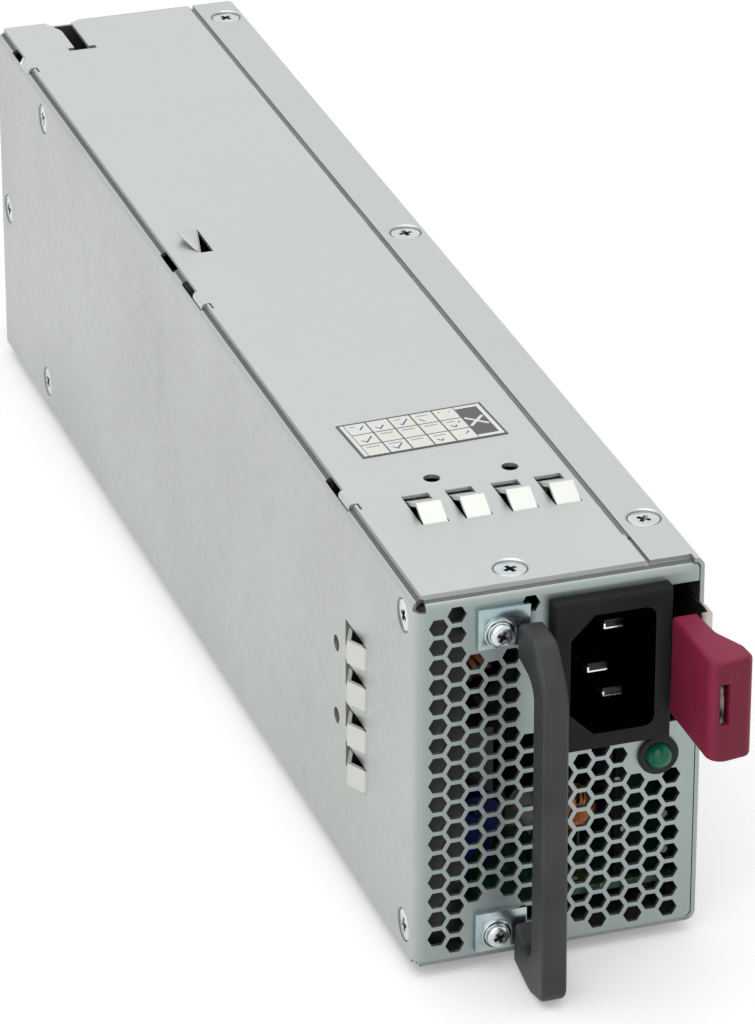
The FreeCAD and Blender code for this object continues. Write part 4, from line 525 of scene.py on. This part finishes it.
def ferrite():
    finish = Finish("ferrite_core", roughness=0.62)
    speckle = finish.noise(0.0005, 3.0)
    finish.set(base_color=finish.mix((0.030, 0.029, 0.030), (0.085, 0.080, 0.078), speckle),
               normal=finish.bump(speckle, 0.00008, 0.6))
    return finish.material


def enamelled(name, colour, bright):
    finish = Finish(name, metallic=0.2, coat_weight=0.6, coat_roughness=0.12)
    drift = finish.noise(0.0035, 3.0)
    finish.set(base_color=finish.mix(colour, bright, drift.step(0.3, 0.7)),
               roughness=0.22 + drift * 0.15, normal=finish.bump(drift, 0.00005, 0.3))
    return finish.material

# %% Sleeve, tape and fuse
def sleeve(name, colour, stripe, axis_place):
    """Shrunk sleeve with a stripe on the side that faces away from the axis place."""
    finish = Finish(name, roughness=0.30, coat_weight=0.4, coat_roughness=0.15)
    around = finish.axes(finish.moved(centre=axis_place))
    band = (abs(around[1]) < 0.0022) * (around[0] < 0.0)
    wrinkle = finish.noise(0.004, 2.0, stretch=(1, 1, 3))
    finish.set(base_color=finish.mix(finish.mix(colour, stripe, band), colour, wrinkle * 0.25),
               normal=finish.bump(wrinkle, 0.0001, 0.4))
    return finish.material


def tape():
    finish = Finish("polyester_tape", roughness=0.28, coat_weight=0.5, coat_roughness=0.1)
    height = finish.axes()[2]
    edges = abs((height / 0.0034).part() - 0.5) < 0.03
    ripple = finish.noise(0.003, 2.0)
    yellow = finish.mix((0.66, 0.47, 0.055), (0.74, 0.56, 0.10), ripple)
    finish.set(base_color=finish.mix(yellow, (0.36, 0.24, 0.03), edges),
               normal=finish.bump(ripple + edges, 0.0001, 0.4))
    return finish.material


def ceramic_tube():
    """White ceramic between two metal caps."""
    finish = Finish("fuse_ceramic", roughness=0.24)
    along = finish.axes(finish.moved(centre=(0, middle_of("line_fuse").y, 0)))[1]
    caps = abs(along) > 6.2 * MM
    bloom = finish.noise(0.002, 2.0)
    white = finish.mix((0.74, 0.72, 0.66), (0.64, 0.62, 0.57), bloom)
    finish.set(base_color=finish.mix(white, (0.60, 0.58, 0.55), caps), metallic=caps)
    return finish.material


insulating_film = film()
ferrite_grey = ferrite()
copper = enamelled("enamelled_copper", (0.95, 0.30, 0.085), (1.0, 0.48, 0.20))
polyester = tape()
fuse_body = ceramic_tube()
bulk_sleeve = sleeve("bulk_sleeve", (0.012, 0.016, 0.030), (0.45, 0.45, 0.43), (-0.008, 0, 0))
output_sleeve = sleeve("output_sleeve", (0.020, 0.010, 0.035), (0.50, 0.42, 0.20),
                       (-0.0155, 0, 0))

# %% [markdown]
# ## The label
# A small white inspection label lies on the cover, a few degrees out of line. It has a dark
# border, ruled cells, a dark block at one end and hand-made ticks in blue ink. All of it is
# worked out from the distance along and across the label, so it stays sharp at any size.

# %% Label print
finish = Finish("printed_label", roughness=0.34, coat_weight=0.25, coat_roughness=0.2)
tilt = math.radians(2.9)
along, across, _ = finish.axes(finish.moved(centre=middle_of("rating_label"), turn=(0, 0, tilt)))
# From here on, lengths are in millimetres from the middle of the label.
along = along / MM
across = across / MM
line, cell_length, cell_width = 0.16, 4.48, 4.5
grid_start, block_middle = 13.4, 11.2
border = (abs(along) > 14.2) + (abs(across) > 6.75)
inside = abs(along + 2.2) < 11.2
rows = (abs(abs(across) - cell_width / 2) < line) * inside
share = ((along + grid_start) / cell_length).part()
columns = (abs(share - 0.5) > 0.5 - line / cell_length) * inside
from_block = abs(along - block_middle)
dark_block = (from_block < 2.2) * (abs(across) < 5.8)
star = (abs(from_block - abs(across)) < 0.45) * (from_block + abs(across) < 3.6)
cell_x = share * cell_length
cell_y = ((across + cell_width / 2) / cell_width).part() * cell_width
# A tick is a long stroke up and a short flick, and only some cells are chosen for one.
chosen = finish.cells(0.0061) < 0.42
stroke = (abs(cell_y - 1.1 - (cell_x - 1.9) * 1.25) < 0.28) * within(cell_x, 1.8, 3.6)
flick = (abs(cell_y - 1.1 + (cell_x - 1.9) * 1.1) < 0.26) * within(cell_x, 1.1, 2.0)
ticks = (stroke + flick).least(1.0) * inside * chosen * (abs(across) < 6.4)
dashes = (abs(cell_y - 3.4) < 0.22) * (abs(cell_x - 2.2) < 1.3) * inside * (1 - chosen)
aged = finish.noise(0.006, 3.0)
paper = finish.mix((0.80, 0.80, 0.76), (0.70, 0.70, 0.66), aged)
inked = finish.mix(paper, (0.035, 0.055, 0.25), ticks)
dark = (border + rows + columns + dark_block * (1 - star) + dashes * 0.6).least(1.0)
finish.set(base_color=finish.mix(inked, (0.045, 0.045, 0.050), dark),
           normal=finish.bump(aged, 0.00004, 0.3))
label_print = finish.material

# %% [markdown]
# ## Giving the CAD pieces their finish
# Most CAD solids already have the right shape, so each only needs its finish. A table lists the
# nodes of each finish, and a loop puts it in every slot of the node.

# %% Finishes of the CAD nodes
FINISH_OF = {
    case_zinc: ["left_front_shell", "right_bottom_shell", "rear_panel"],
    cover_zinc: ["top_panel"],
    inner_zinc: ["fan_bracket", "board_standoffs"],
    blue_zinc: ["upper_handle_bracket", "lower_handle_bracket"],
    screw_zinc: ["top_screws", "side_screws", "handle_screws", "fan_screws", "board_screws"],
    spring_steel: ["latch_arm", "latch_rivets"],
    tinned: ["fuse_clips"],
    shaded_blade_tin: ["inlet_pins"],
    busbar: ["output_busbars"],
    gold: ["edge_contacts"],
    fin_metal: ["primary_heatsink", "secondary_heatsink"],
    handle_plastic: ["handle_grip"],
    inlet_plastic: ["inlet_housing"],
    clip_plastic: ["led_bezel"],
    maroon_plastic: ["latch_lever"],
    fan_plastic: ["fan_frame", "fan_rotor"],
    moulded_grey: ["bridge_rectifier", "switching_transistors", "output_rectifiers", "choke_stand"],
    cased_film: ["x_capacitor"],
    blue_ceramic: ["y_capacitors"],
    lamp_resin: ["status_led"],
    board_lacquer: ["main_board", "inlet_board", "control_board"],
    shaded_lamp_board: ["indicator_board"],
    insulating_film: ["insulation_sheet", "side_insulator"],
    ferrite_grey: ["choke_core", "boost_choke_core", "output_choke_core", "transformer_core"],
    copper: ["choke_windings", "boost_choke_winding", "output_choke_winding"],
    polyester: ["transformer_winding"],
    fuse_body: ["line_fuse"],
    bulk_sleeve: ["bulk_capacitors", "filter_capacitor"],
    output_sleeve: ["output_capacitors"],
    label_print: ["rating_label"],
}


def paint(piece, material):
    """Puts one material in every slot of a piece."""
    for slot in piece.material_slots:
        slot.material = material
    if not piece.material_slots:
        piece.data.materials.append(material)


for material, names in FINISH_OF.items():
    for name in names:
        paint(nodes[name], material)
bare = set(nodes) - {name for names in FINISH_OF.values() for name in names}
print("finishes:", len(FINISH_OF), "nodes without one:", sorted(bare))

# %% [markdown]
# ## Tools for modelling
# The pieces below start from a primitive or a CAD solid that is pushed, scaled and cut, as by
# hand. Blender's operators act on whatever is selected, so each helper selects one piece alone.
# A turned piece, such as a screw or a can, starts as a filled circle: extruding it upwards and
# scaling the new rim, again and again, follows a profile of radius and height. A narrow bevel
# breaks sharp edges, because no real edge is perfectly sharp.

# %% Selecting and finishing
def only(piece):
    """Selects one piece and nothing else."""
    bpy.ops.object.select_all(action="DESELECT")
    piece.select_set(True)
    bpy.context.view_layer.objects.active = piece
    return piece


def added(operator, **settings):
    """Adds a primitive, and returns it as the only selected piece."""
    operator(**settings)
    return only(bpy.context.object)


def twin(piece):
    """A copy of a piece with a mesh of its own."""
    copy = piece.copy()
    copy.data = piece.data.copy()
    bpy.context.scene.collection.objects.link(copy)
    return copy


@contextmanager
def editing(kind="VERT", chosen=None):
    """Edit mode for a few lines, with all selected, or only the chosen faces or edges."""
    mesh = bpy.context.object.data
    bpy.ops.object.mode_set(mode="EDIT")
    bpy.ops.mesh.select_mode(type=kind)
    bpy.ops.mesh.select_all(action="DESELECT" if chosen else "SELECT")
    if chosen:
        bpy.ops.object.mode_set(mode="OBJECT")
        items = mesh.polygons if kind == "FACE" else mesh.edges
        for index in chosen:
            items[index].select = True
        bpy.ops.object.mode_set(mode="EDIT")
    yield
    bpy.ops.object.mode_set(mode="OBJECT")


def applied(piece, kind, **settings):
    """Adds a modifier, sets it up and applies it."""
    only(piece)
    bpy.ops.object.modifier_add(type=kind)
    modifier = piece.modifiers[-1]
    for name, value in settings.items():
        setattr(modifier, name, value)
    bpy.ops.object.modifier_apply(modifier=modifier.name)
    return piece


def edged(piece, width, angle=40):
    """Rounds the edges sharper than an angle by a width in millimetres."""
    return applied(piece, "BEVEL", width=width * MM, segments=2, limit_method="ANGLE",
                   angle_limit=math.radians(angle))


def smoothed(piece, angle=35):
    """Shades a piece smooth, apart from edges sharper than an angle in degrees."""
    only(piece)
    bpy.ops.object.shade_smooth_by_angle(angle=math.radians(angle))
    return piece

# %% Turned pieces and blocks
def turned(name, profile, sides=32):
    """A turned piece on the z axis that follows a profile of (radius, height) in millimetres."""
    radius, height = profile[0]
    piece = added(bpy.ops.mesh.primitive_circle_add, vertices=sides, radius=radius * MM,
                  fill_type="NGON", location=(0, 0, height * MM))
    piece.name = name
    bpy.ops.object.transform_apply()
    with editing():
        for wider, higher in profile[1:]:
            rise = {"value": (0, 0, (higher - height) * MM)}
            bpy.ops.mesh.extrude_region_move(TRANSFORM_OT_translate=rise)
            scale = wider / radius
            bpy.ops.transform.resize(value=(scale, scale, 1), center_override=(0, 0, 0))
            radius, height = wider, higher
        bpy.ops.mesh.select_all(action="SELECT")
        bpy.ops.mesh.normals_make_consistent(inside=False)
    return piece


def cut_away(piece, tool):
    """Takes a tool's volume out of a piece, then deletes the tool."""
    applied(piece, "BOOLEAN", object=tool, operation="DIFFERENCE", solver="EXACT")
    bpy.data.objects.remove(tool)
    return piece


def block(name, low, high):
    """A box between two corners in metres, whose place is in its mesh."""
    middle = (Vector(low) + Vector(high)) / 2
    piece = added(bpy.ops.mesh.primitive_cube_add, size=1.0, location=middle)
    piece.name = name
    piece.scale = Vector(high) - Vector(low)
    bpy.ops.object.transform_apply()
    return piece

# %% Placing and joining
def standing(model, place, way, turn=0.0):
    """A copy of a model made on the z axis, moved to a place so that its top faces a way."""
    piece = twin(model)
    swing = Vector((0, 0, 1)).rotation_difference(Vector(way)).to_matrix().to_4x4()
    spin = Matrix.Rotation(math.radians(turn), 4, "Z")
    piece.data.transform(Matrix.Translation(Vector(place)) @ swing @ spin)
    return piece


def together(name, pieces, material=None, stands_for=(), body="chassis"):
    """Joins pieces into one, names and paints it, and lets it stand for CAD nodes."""
    only(pieces[0])
    for piece in pieces[1:]:
        piece.select_set(True)
    if len(pieces) > 1:
        bpy.ops.object.join()
    whole = pieces[0]
    whole.name = name
    if material:
        paint(whole, material)
    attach(whole, body)
    if stands_for:
        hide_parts(*stands_for)
    made = sum(len(face.vertices) - 2 for face in whole.data.polygons)
    print(name, "has", made, "triangles")
    return whole

# %% [markdown]
# ## Screws with a cross recess
# The cover and the left wall are held by countersunk screws, and the handle, the fan and the
# board by screws with a domed head. A screwdriver's cross is pressed into each. The head is
# turned, and two thin bars that taper towards their lower end are then taken out of it. The
# pressed walls of the cross are painted darker than the head, as painted shade with faint
# painted glints. Each screw stops at a different angle.

# %% Screws
def crossed(screw, width, deep):
    """Presses a tapered cross into the top of a screw, which lies at height nought."""
    for turn in (0, 90):
        arm = block("cross_arm", (-width / 2 * MM, -0.15 * width * MM, -deep * MM),
                    (width / 2 * MM, 0.15 * width * MM, deep * MM))
        bottom = [face.index for face in arm.data.polygons if face.normal.z < -0.5]
        with editing("FACE", bottom):
            bpy.ops.transform.resize(value=(0.45, 0.6, 1), center_override=(0, 0, 0))
        arm.data.transform(Matrix.Rotation(math.radians(turn), 4, "Z"))
        cut_away(screw, arm)
    paint(screw, screw_zinc)
    # The walls of the cross get the dark recess colour: painted shade.
    screw.data.materials.append(recess_shade_zinc)
    for face in screw.data.polygons:
        centre = face.center
        outwards = Vector((centre.x, centre.y, 0)).normalized().dot(face.normal)
        if -(deep + 0.05) * MM < centre.z < -0.02 * MM and outwards < 0.2:
            face.material_index = len(screw.data.materials) - 1
    return smoothed(screw)


def flush_screw(name, shank):
    """A screw with a conical head, and a shank that is so many millimetres long."""
    head = 1.2
    profile = [(1.25, -head - shank), (1.5, -head - shank + 0.2), (1.5, -head), (2.96, -0.12),
               (2.96, -0.06), (2.84, 0.0)]
    return crossed(turned(name, profile), 3.7, 1.1)


def domed_screw(name, flange, dome, height, shank, shank_radius):
    """A screw whose domed head sits on a thin flange: both are given by their radius."""
    levels = [(shank_radius - 0.2, -shank), (shank_radius, 0.2 - shank), (shank_radius, 0),
              (flange, 0), (flange, 0.45), (flange - 0.12, 0.55), (dome + 0.12, 0.62),
              (dome, 0.72), (dome, height - 0.62), (dome * 0.94, height - 0.32),
              (dome * 0.80, height - 0.12), (dome * 0.60, height)]
    profile = [(radius, level - height) for radius, level in levels]
    return crossed(turned(name, profile), dome * 1.4, 1.3)


def screw_set(name, node, model, way, turns):
    """Puts a screw where each solid of a node is, its top at the face that looks the way."""
    copies = [standing(model, top, way, turn) for top, turn in zip(tops(node, way), turns)]
    bpy.data.objects.remove(model)
    return together(name, copies, stands_for=[node])


screw_set("cover_screw_set", "top_screws", flush_screw("flush", 1.9), (0, 0, 1), (20, 50, 8, 36))
screw_set("wall_screw_set", "side_screws", flush_screw("flush_short", 0.25), (-1, 0, 0),
          (12, 70, 33, 55, 5))
screw_set("handle_screw_set", "handle_screws", domed_screw("washer_head", 2.88, 2.2, 1.9, 3.2, 1.5),
          (0, -1, 0), (25, 62))
screw_set("fan_screw_set", "fan_screws", domed_screw("pan_head", 2.68, 2.3, 1.8, 9.0, 1.5),
          (0, 1, 0), (10, 35, 80, 58))
screw_set("board_screw_set", "board_screws", domed_screw("board_head", 2.78, 2.35, 1.8, 6.1, 1.4),
          (0, 0, 1), (15, 41, 66, 5, 30, 77))

# %% [markdown]
# ## Softened edges
# Some CAD pieces have the right shape but knife-sharp edges and visible facets. A copy of such a
# piece is taken, its loose triangles are merged into one skin, and flat areas are cleared of
# their inner lines. Where a width is given, a narrow bevel then rounds what is still sharp, so
# that edges catch a thin line of light. The curved areas are shaded smooth.

# %% Softened copies
def skin_of(node):
    """A copy of a CAD node, merged into one skin and free of lines across its flat areas."""
    piece = twin(nodes[node])
    piece.parent = None
    only(piece)
    with editing():
        bpy.ops.mesh.remove_doubles(threshold=MERGED)
        bpy.ops.mesh.customdata_custom_splitnormals_clear()
        bpy.ops.mesh.dissolve_limited(angle_limit=math.radians(0.5))
    return piece


def softened(name, node, material, width=0.0, body="chassis"):
    """A merged copy of a CAD node with its sharp edges rounded by a width in millimetres."""
    piece = skin_of(node)
    if width:
        edged(piece, width)
    return together(name, [smoothed(piece)], material, [node], body)


softened("handle_moulding", "handle_grip", handle_plastic)
softened("lever_moulding", "latch_lever", maroon_plastic, 0.12, "latch")
softened("upper_bracket_plate", "upper_handle_bracket", blue_zinc, 0.15)
softened("lower_bracket_plate", "lower_handle_bracket", blue_zinc, 0.15)
softened("inlet_blades", "inlet_pins", shaded_blade_tin, 0.30)
softened("lamp_clip", "led_bezel", clip_plastic, 0.12)
softened("lamp_dome", "status_led", lamp_resin)
softened("latch_spring", "latch_arm", spring_steel, 0.08, "latch")

# %% [markdown]
# ## The inlet's socket
# The socket has two slanted corners on its left, and on its right two corners that the mould
# rounds by about two millimetres. In edit mode the two long edges in those corners are picked by
# their direction and place and bevelled by themselves, before the narrow bevel goes all over.

# %% Inlet
piece = skin_of("inlet_housing")
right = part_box("inlet_housing")[1].x
reach = 6 * MM              # how long the edges are at least, and how far from the right
found = []
for edge in piece.data.edges:
    first, last = [piece.data.vertices[index].co for index in edge.vertices]
    run = last - first
    lengthwise = abs(run.y) > reach and max(abs(run.x), abs(run.z)) < 0.01 * MM
    if lengthwise and first.x > right - reach:
        found.append((first.x, edge.index))
found.sort()
print("long edges on the right at", [round(place / MM, 2) for place, index in found])
with editing("EDGE", [index for place, index in found[:2]]):
    bpy.ops.mesh.bevel(offset=1.9 * MM, segments=5, affect="EDGES")
together("inlet_moulding", [smoothed(edged(piece, 0.15))], inlet_plastic, ["inlet_housing"])

# %% [markdown]
# ## Cells under the inlet
# Three cells of the vent reach up under the flange of the inlet. They are cut into a copy of the
# shell, as a punch would: a six-sided primitive is turned so that its flat sides lie up and
# down, set in the column and row of the comb, and taken out of the panel.

# %% Cells under the inlet
CORNER = Vector((-WALL, FRONT, TOP))    # the front corner at the upper left
CELL_SIDE = 1.6                         # from the middle of a cell to a side, in millimetres
CELL_PITCH = 4.034                      # from one cell to the next in its column
FIRST_CELL = (4.32, -6.06)              # the first cell, to the right of the corner and up
MORE_CELLS = ((8, 8.0), (9, 7.5), (10, 8.0))    # column and row

shell = skin_of("left_front_shell")
slope = math.cos(math.pi / 6)
for column, row in MORE_CELLS:
    punch = added(bpy.ops.mesh.primitive_cylinder_add, vertices=6,
                  radius=CELL_SIDE / slope * MM, depth=3 * MM)
    across = FIRST_CELL[0] + column * CELL_PITCH * slope
    place = CORNER + Vector((across, 0.4, FIRST_CELL[1] - row * CELL_PITCH)) * MM
    punch.data.transform(Matrix.Translation(place) @ Matrix.Rotation(math.radians(90), 4, "X")
                         @ Matrix.Rotation(math.radians(90), 4, "Z"))
    cut_away(shell, punch)
smoothed(shell, 20)
together("front_shell_cells", [shell], case_zinc, ["left_front_shell"])

# %% [markdown]
# ## The torn flap
# A triangle of the cover is pierced and its metal is pushed up along the slanted side, where it
# stands as a small curl. A grid makes the flap: its rows follow the slanted side, and its columns
# run outwards, up steeply at first and then over. A solidify modifier gives it a thickness, less
# than the sheet's, because torn metal is drawn thin.

# %% Torn flap
flap = added(bpy.ops.mesh.primitive_grid_add, x_subdivisions=14, y_subdivisions=8, size=1.0)
hinge = CORNER / MM + Vector((7.7, 157.0, -0.25))       # the near end of the slanted side
slant = Vector((2.7, 11.4, 0))                          # and the way to its far end
for vertex in flap.data.vertices:
    share = vertex.co.x + 0.5
    out = vertex.co.y + 0.5
    width = max(0.02, 1 - abs(share - 0.5) / 0.5) ** 0.8
    lift = Vector((-4.1 * out ** 1.3, 1.9 * out, 1.9 * math.sin(out * math.pi / 2)))
    vertex.co = (hinge + slant * share + lift * width) * MM
applied(flap, "SOLIDIFY", thickness=0.3 * MM, offset=0.0)
smoothed(flap, 50)
together("torn_flap", [flap], inner_zinc)

# %% [markdown]
# ## Ring chokes
# The three chokes are rings of ferrite wound with enamelled wire. One turn of wire is a ring
# itself: a torus that is squeezed to an oval just larger than the core's section. Copies of it
# stand round the core like the spokes of a wheel, apart from the gap between two windings.

# %% Windings
def wound(name, middle, outer, inner, thick, way, turns, gaps, stands_for, clear=1.35, wire=0.6):
    """Turns of wire round a ring core, left out near the gap directions in degrees."""
    tube = 0.1
    model = added(bpy.ops.mesh.primitive_torus_add, major_segments=28, minor_segments=8,
                  major_radius=1.0, minor_radius=tube)
    half_radial = ((outer - inner) / 2 + clear) * MM
    half_axial = (thick / 2 + clear) * MM
    with editing():
        bpy.ops.transform.resize(value=(half_radial, half_axial, wire * MM / tube),
                                 center_override=(0, 0, 0))
    bpy.ops.object.shade_smooth()
    stand = {"x": Matrix.Rotation(math.radians(90), 4, "Y"),
             "y": Matrix.Rotation(math.radians(-90), 4, "X"), "z": Matrix()}[way]
    copies = []
    for turn in range(turns):
        angle = 360.0 * (turn + 0.5) / turns
        if any(abs((angle - gap + 180) % 360 - 180) < half for gap, half in gaps):
            continue
        piece = twin(model)
        lift = Matrix.Rotation(math.radians(90), 4, "X")
        out = Matrix.Translation(((outer + inner) / 2 * MM, 0, 0))
        round_axis = Matrix.Rotation(math.radians(angle), 4, "Z")
        piece.data.transform(Matrix.Translation(middle) @ stand @ round_axis @ out @ lift)
        copies.append(piece)
    bpy.data.objects.remove(model)
    return together(name, copies, copper, stands_for)


def wound_core(name, node, core, way, turns, gaps, share=0.5):
    """Winds a core that is a CAD node."""
    low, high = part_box(core)
    outer = max(high - low) / 2 / MM
    thick = (high - low)["xyz".index(way)] / MM
    return wound(name, middle_of(core), outer, outer * share, thick, way, turns, gaps, [node])


wound_core("filter_choke_wire", "choke_windings", "choke_core", "y", 34, ((90, 14), (270, 14)),
           0.56)
wound_core("boost_choke_wire", "boost_choke_winding", "boost_choke_core", "x", 36, ((180, 16),))
wound_core("output_choke_wire", "output_choke_winding", "output_choke_core", "z", 24, ((0, 18),))

# %% A small choke beside the fuse
# A ring of ferrite on two leads, wound with thin wire, that the CAD model leaves out.
place = Vector((0.0109, FRONT + 0.0212, 0.0156))
core = added(bpy.ops.mesh.primitive_torus_add, major_segments=32, minor_segments=10,
             major_radius=2.5 * MM, minor_radius=0.85 * MM)
with editing():
    bpy.ops.transform.resize(value=(1, 1, 2.2), center_override=(0, 0, 0))
core.data.transform(Matrix.Translation(place) @ Matrix.Rotation(math.radians(90), 4, "X"))
together("small_choke_core", [smoothed(core)], ferrite_grey)
wound("small_choke_wire", place, 3.5, 1.7, 4.4, "y", 26, ((270, 10),), (), 0.75, 0.30)
foot, top = 7.4, 12.6       # from inside the board up into the winding
leads = []
for side in (-1, 1):
    lead = turned("lead", [(0.2, foot), (0.35, foot + 0.2), (0.35, top - 0.2), (0.2, top)], 12)
    lead.data.transform(Matrix.Translation((place.x + side * 1.3 * MM, place.y, 0)))
    leads.append(smoothed(lead))
together("small_choke_leads", leads, tinned)

# %% [markdown]
# ## Capacitor cans
# An electrolytic capacitor is an aluminium can in a shrunk sleeve. It is rolled in near its
# foot, where the rubber seal sits, and the sleeve laps over the rim of the top by a millimetre,
# which leaves a sunken disc in the middle.

# %% Cans
def can_set(name, node, material):
    """Cans that stand where a node's solids are, given by shares of the radius and heights."""
    cans = []
    for low, high in solids_of(node):
        radius = (high.x - low.x) / 2 / MM
        height = (high.z - low.z) / MM
        levels = [(0.90, 0.0), (0.97, 0.3), (0.99, 1.2), (0.99, radius * 0.30),
                  (0.94, radius * 0.38), (0.94, radius * 0.46), (0.99, radius * 0.56),
                  (0.99, height - 0.8), (0.965, height - 0.25), (0.92, height - 0.02),
                  (0.86, height - 0.02), (0.84, height - 0.35), (0.30, height - 0.35),
                  (0.27, height - 0.55), (0.05, height - 0.55)]
        profile = [(radius * share, level) for share, level in levels]
        can = smoothed(turned("can", profile, 40))
        can.data.transform(Matrix.Translation(((low.x + high.x) / 2, (low.y + high.y) / 2, low.z)))
        cans.append(can)
    return together(name, cans, material, [node])


can_set("bulk_can_set", "bulk_capacitors", bulk_sleeve)
can_set("filter_can", "filter_capacitor", bulk_sleeve)
can_set("output_can_set", "output_capacitors", output_sleeve)

# %% [markdown]
# ## The fan wheel
# The wheel is one moulding: a hub like a cup turned over, and seven blades that scoop air. A
# blade starts as a grid, is bent by moving its rows along an arc, twisted from root to tip, and
# given its thickness by a solidify modifier. The hub is turned, with a rounded rim.

# %% Fan wheel
low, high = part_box("fan_rotor")
centre = middle_of("fan_rotor")
reach = (high.x - low.x) / 2 / MM
hub = 12.0
blades = 7
spokes = 3.8 * MM           # room for the frame's spokes behind the wheel
deep = (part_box("fan_frame")[1].y - spokes - low.y) / MM
profile = [(hub - 0.9, 0.0), (hub - 0.25, 0.3), (hub, 1.0), (hub, deep - 0.15),
           (hub - 0.15, deep), (1.45, deep), (1.45, (high.y - low.y) / MM)]
pieces = [smoothed(turned("hub", profile, 48))]
for index in range(blades):
    blade = added(bpy.ops.mesh.primitive_grid_add, x_subdivisions=10, y_subdivisions=8, size=1.0)
    for vertex in blade.data.vertices:
        out = vertex.co.x + 0.5
        run = vertex.co.y
        radius = hub - 0.5 + (reach - hub + 0.3) * out
        sweep = run * (0.66 - 0.10 * out) + 0.16 * out
        height = deep * (0.5 + run * (0.80 - 0.12 * out)) + 1.1 * math.cos(run * math.pi)
        vertex.co = Vector((radius * math.cos(sweep), radius * math.sin(sweep), height)) * MM
    applied(blade, "SOLIDIFY", thickness=0.9 * MM, offset=0.0)
    smoothed(edged(blade, 0.2, 50))
    blade.data.transform(Matrix.Rotation(2 * math.pi * index / blades, 4, "Z"))
    pieces.append(blade)
lying = Matrix.Rotation(math.radians(-90), 4, "X")
for piece in pieces:
    piece.data.transform(Matrix.Translation((centre.x, low.y, centre.z)) @ lying)
together("fan_wheel", pieces, fan_plastic, ["fan_rotor"], "rotor")

# %% [markdown]
# ## Floor and light
# The unit stands on a white sweep. The floor takes its shadow as an ordinary matt surface, and a
# little extra white is added only where the camera or a reflection looks at it. Two large, weak
# panels light the unit from above and from the front left, and the sky fills in the rest.

# %% Floor
FLOOR_GAP = 0.2 * MM
FLOOR_GLOW = 0.22           # white that is added where the floor is looked at


def looked_at(tree):
    """A socket that is 1 for the rays that a camera or a reflection looks along."""
    path = tree.nodes.new("ShaderNodeLightPath")
    seen = path.outputs["Is Camera Ray"]
    for name in ("Is Glossy Ray", "Is Transmission Ray"):
        either = tree.nodes.new("ShaderNodeMath")
        either.operation = "MAXIMUM"
        tree.links.new(seen, either.inputs[0])
        tree.links.new(path.outputs[name], either.inputs[1])
        seen = either.outputs[0]
    return seen


floor = added(bpy.ops.mesh.primitive_plane_add, size=6.0, location=(0, 0, cad_low.z - FLOOR_GAP))
floor.name = "floor"
floor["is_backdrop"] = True
finish = Finish("floor_white", roughness=0.9, base_color=(0.90, 0.90, 0.90))
seen = Wire(finish, looked_at(finish.tree))
finish.set(emission_color=(1, 1, 1), emission_strength=seen * FLOOR_GLOW)
paint(floor, finish.material)
print("floor at", round(floor.location.z / MM, 2), "mm")

# %% Sky
AMBIENT = 0.62              # the sky as a light: to the eye it is 1
world = bpy.data.worlds.new("studio")
bpy.context.scene.world = world
world.use_nodes = True
tree = world.node_tree
sky = tree.nodes["Background"]
sky.inputs["Color"].default_value = (1, 1, 1, 1)
level = tree.nodes.new("ShaderNodeMapRange")
level.inputs["To Min"].default_value = AMBIENT
level.inputs["To Max"].default_value = 1.0
tree.links.new(looked_at(tree), level.inputs["Value"])
tree.links.new(level.outputs[0], sky.inputs["Strength"])
print("sky lights at", AMBIENT)

# %% Panels
def panel(name, place, aim, size, power):
    lamp = bpy.data.lights.new(name, "AREA")
    lamp.size = size
    lamp.energy = power
    holder = bpy.data.objects.new(name, lamp)
    bpy.context.scene.collection.objects.link(holder)
    holder.location = place
    holder.rotation_euler = (Vector(aim) - Vector(place)).to_track_quat("-Z", "Y").to_euler()
    return holder


panel("panel_above", (-0.3, -0.2, 1.9), (0, 0, 0), 2.0, 14.0)
panel("panel_front", (-1.1, -1.6, 1.2), (0, 0, 0), 1.8, 10.0)
bpy.context.scene.view_settings.view_transform = "Standard"

low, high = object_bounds()
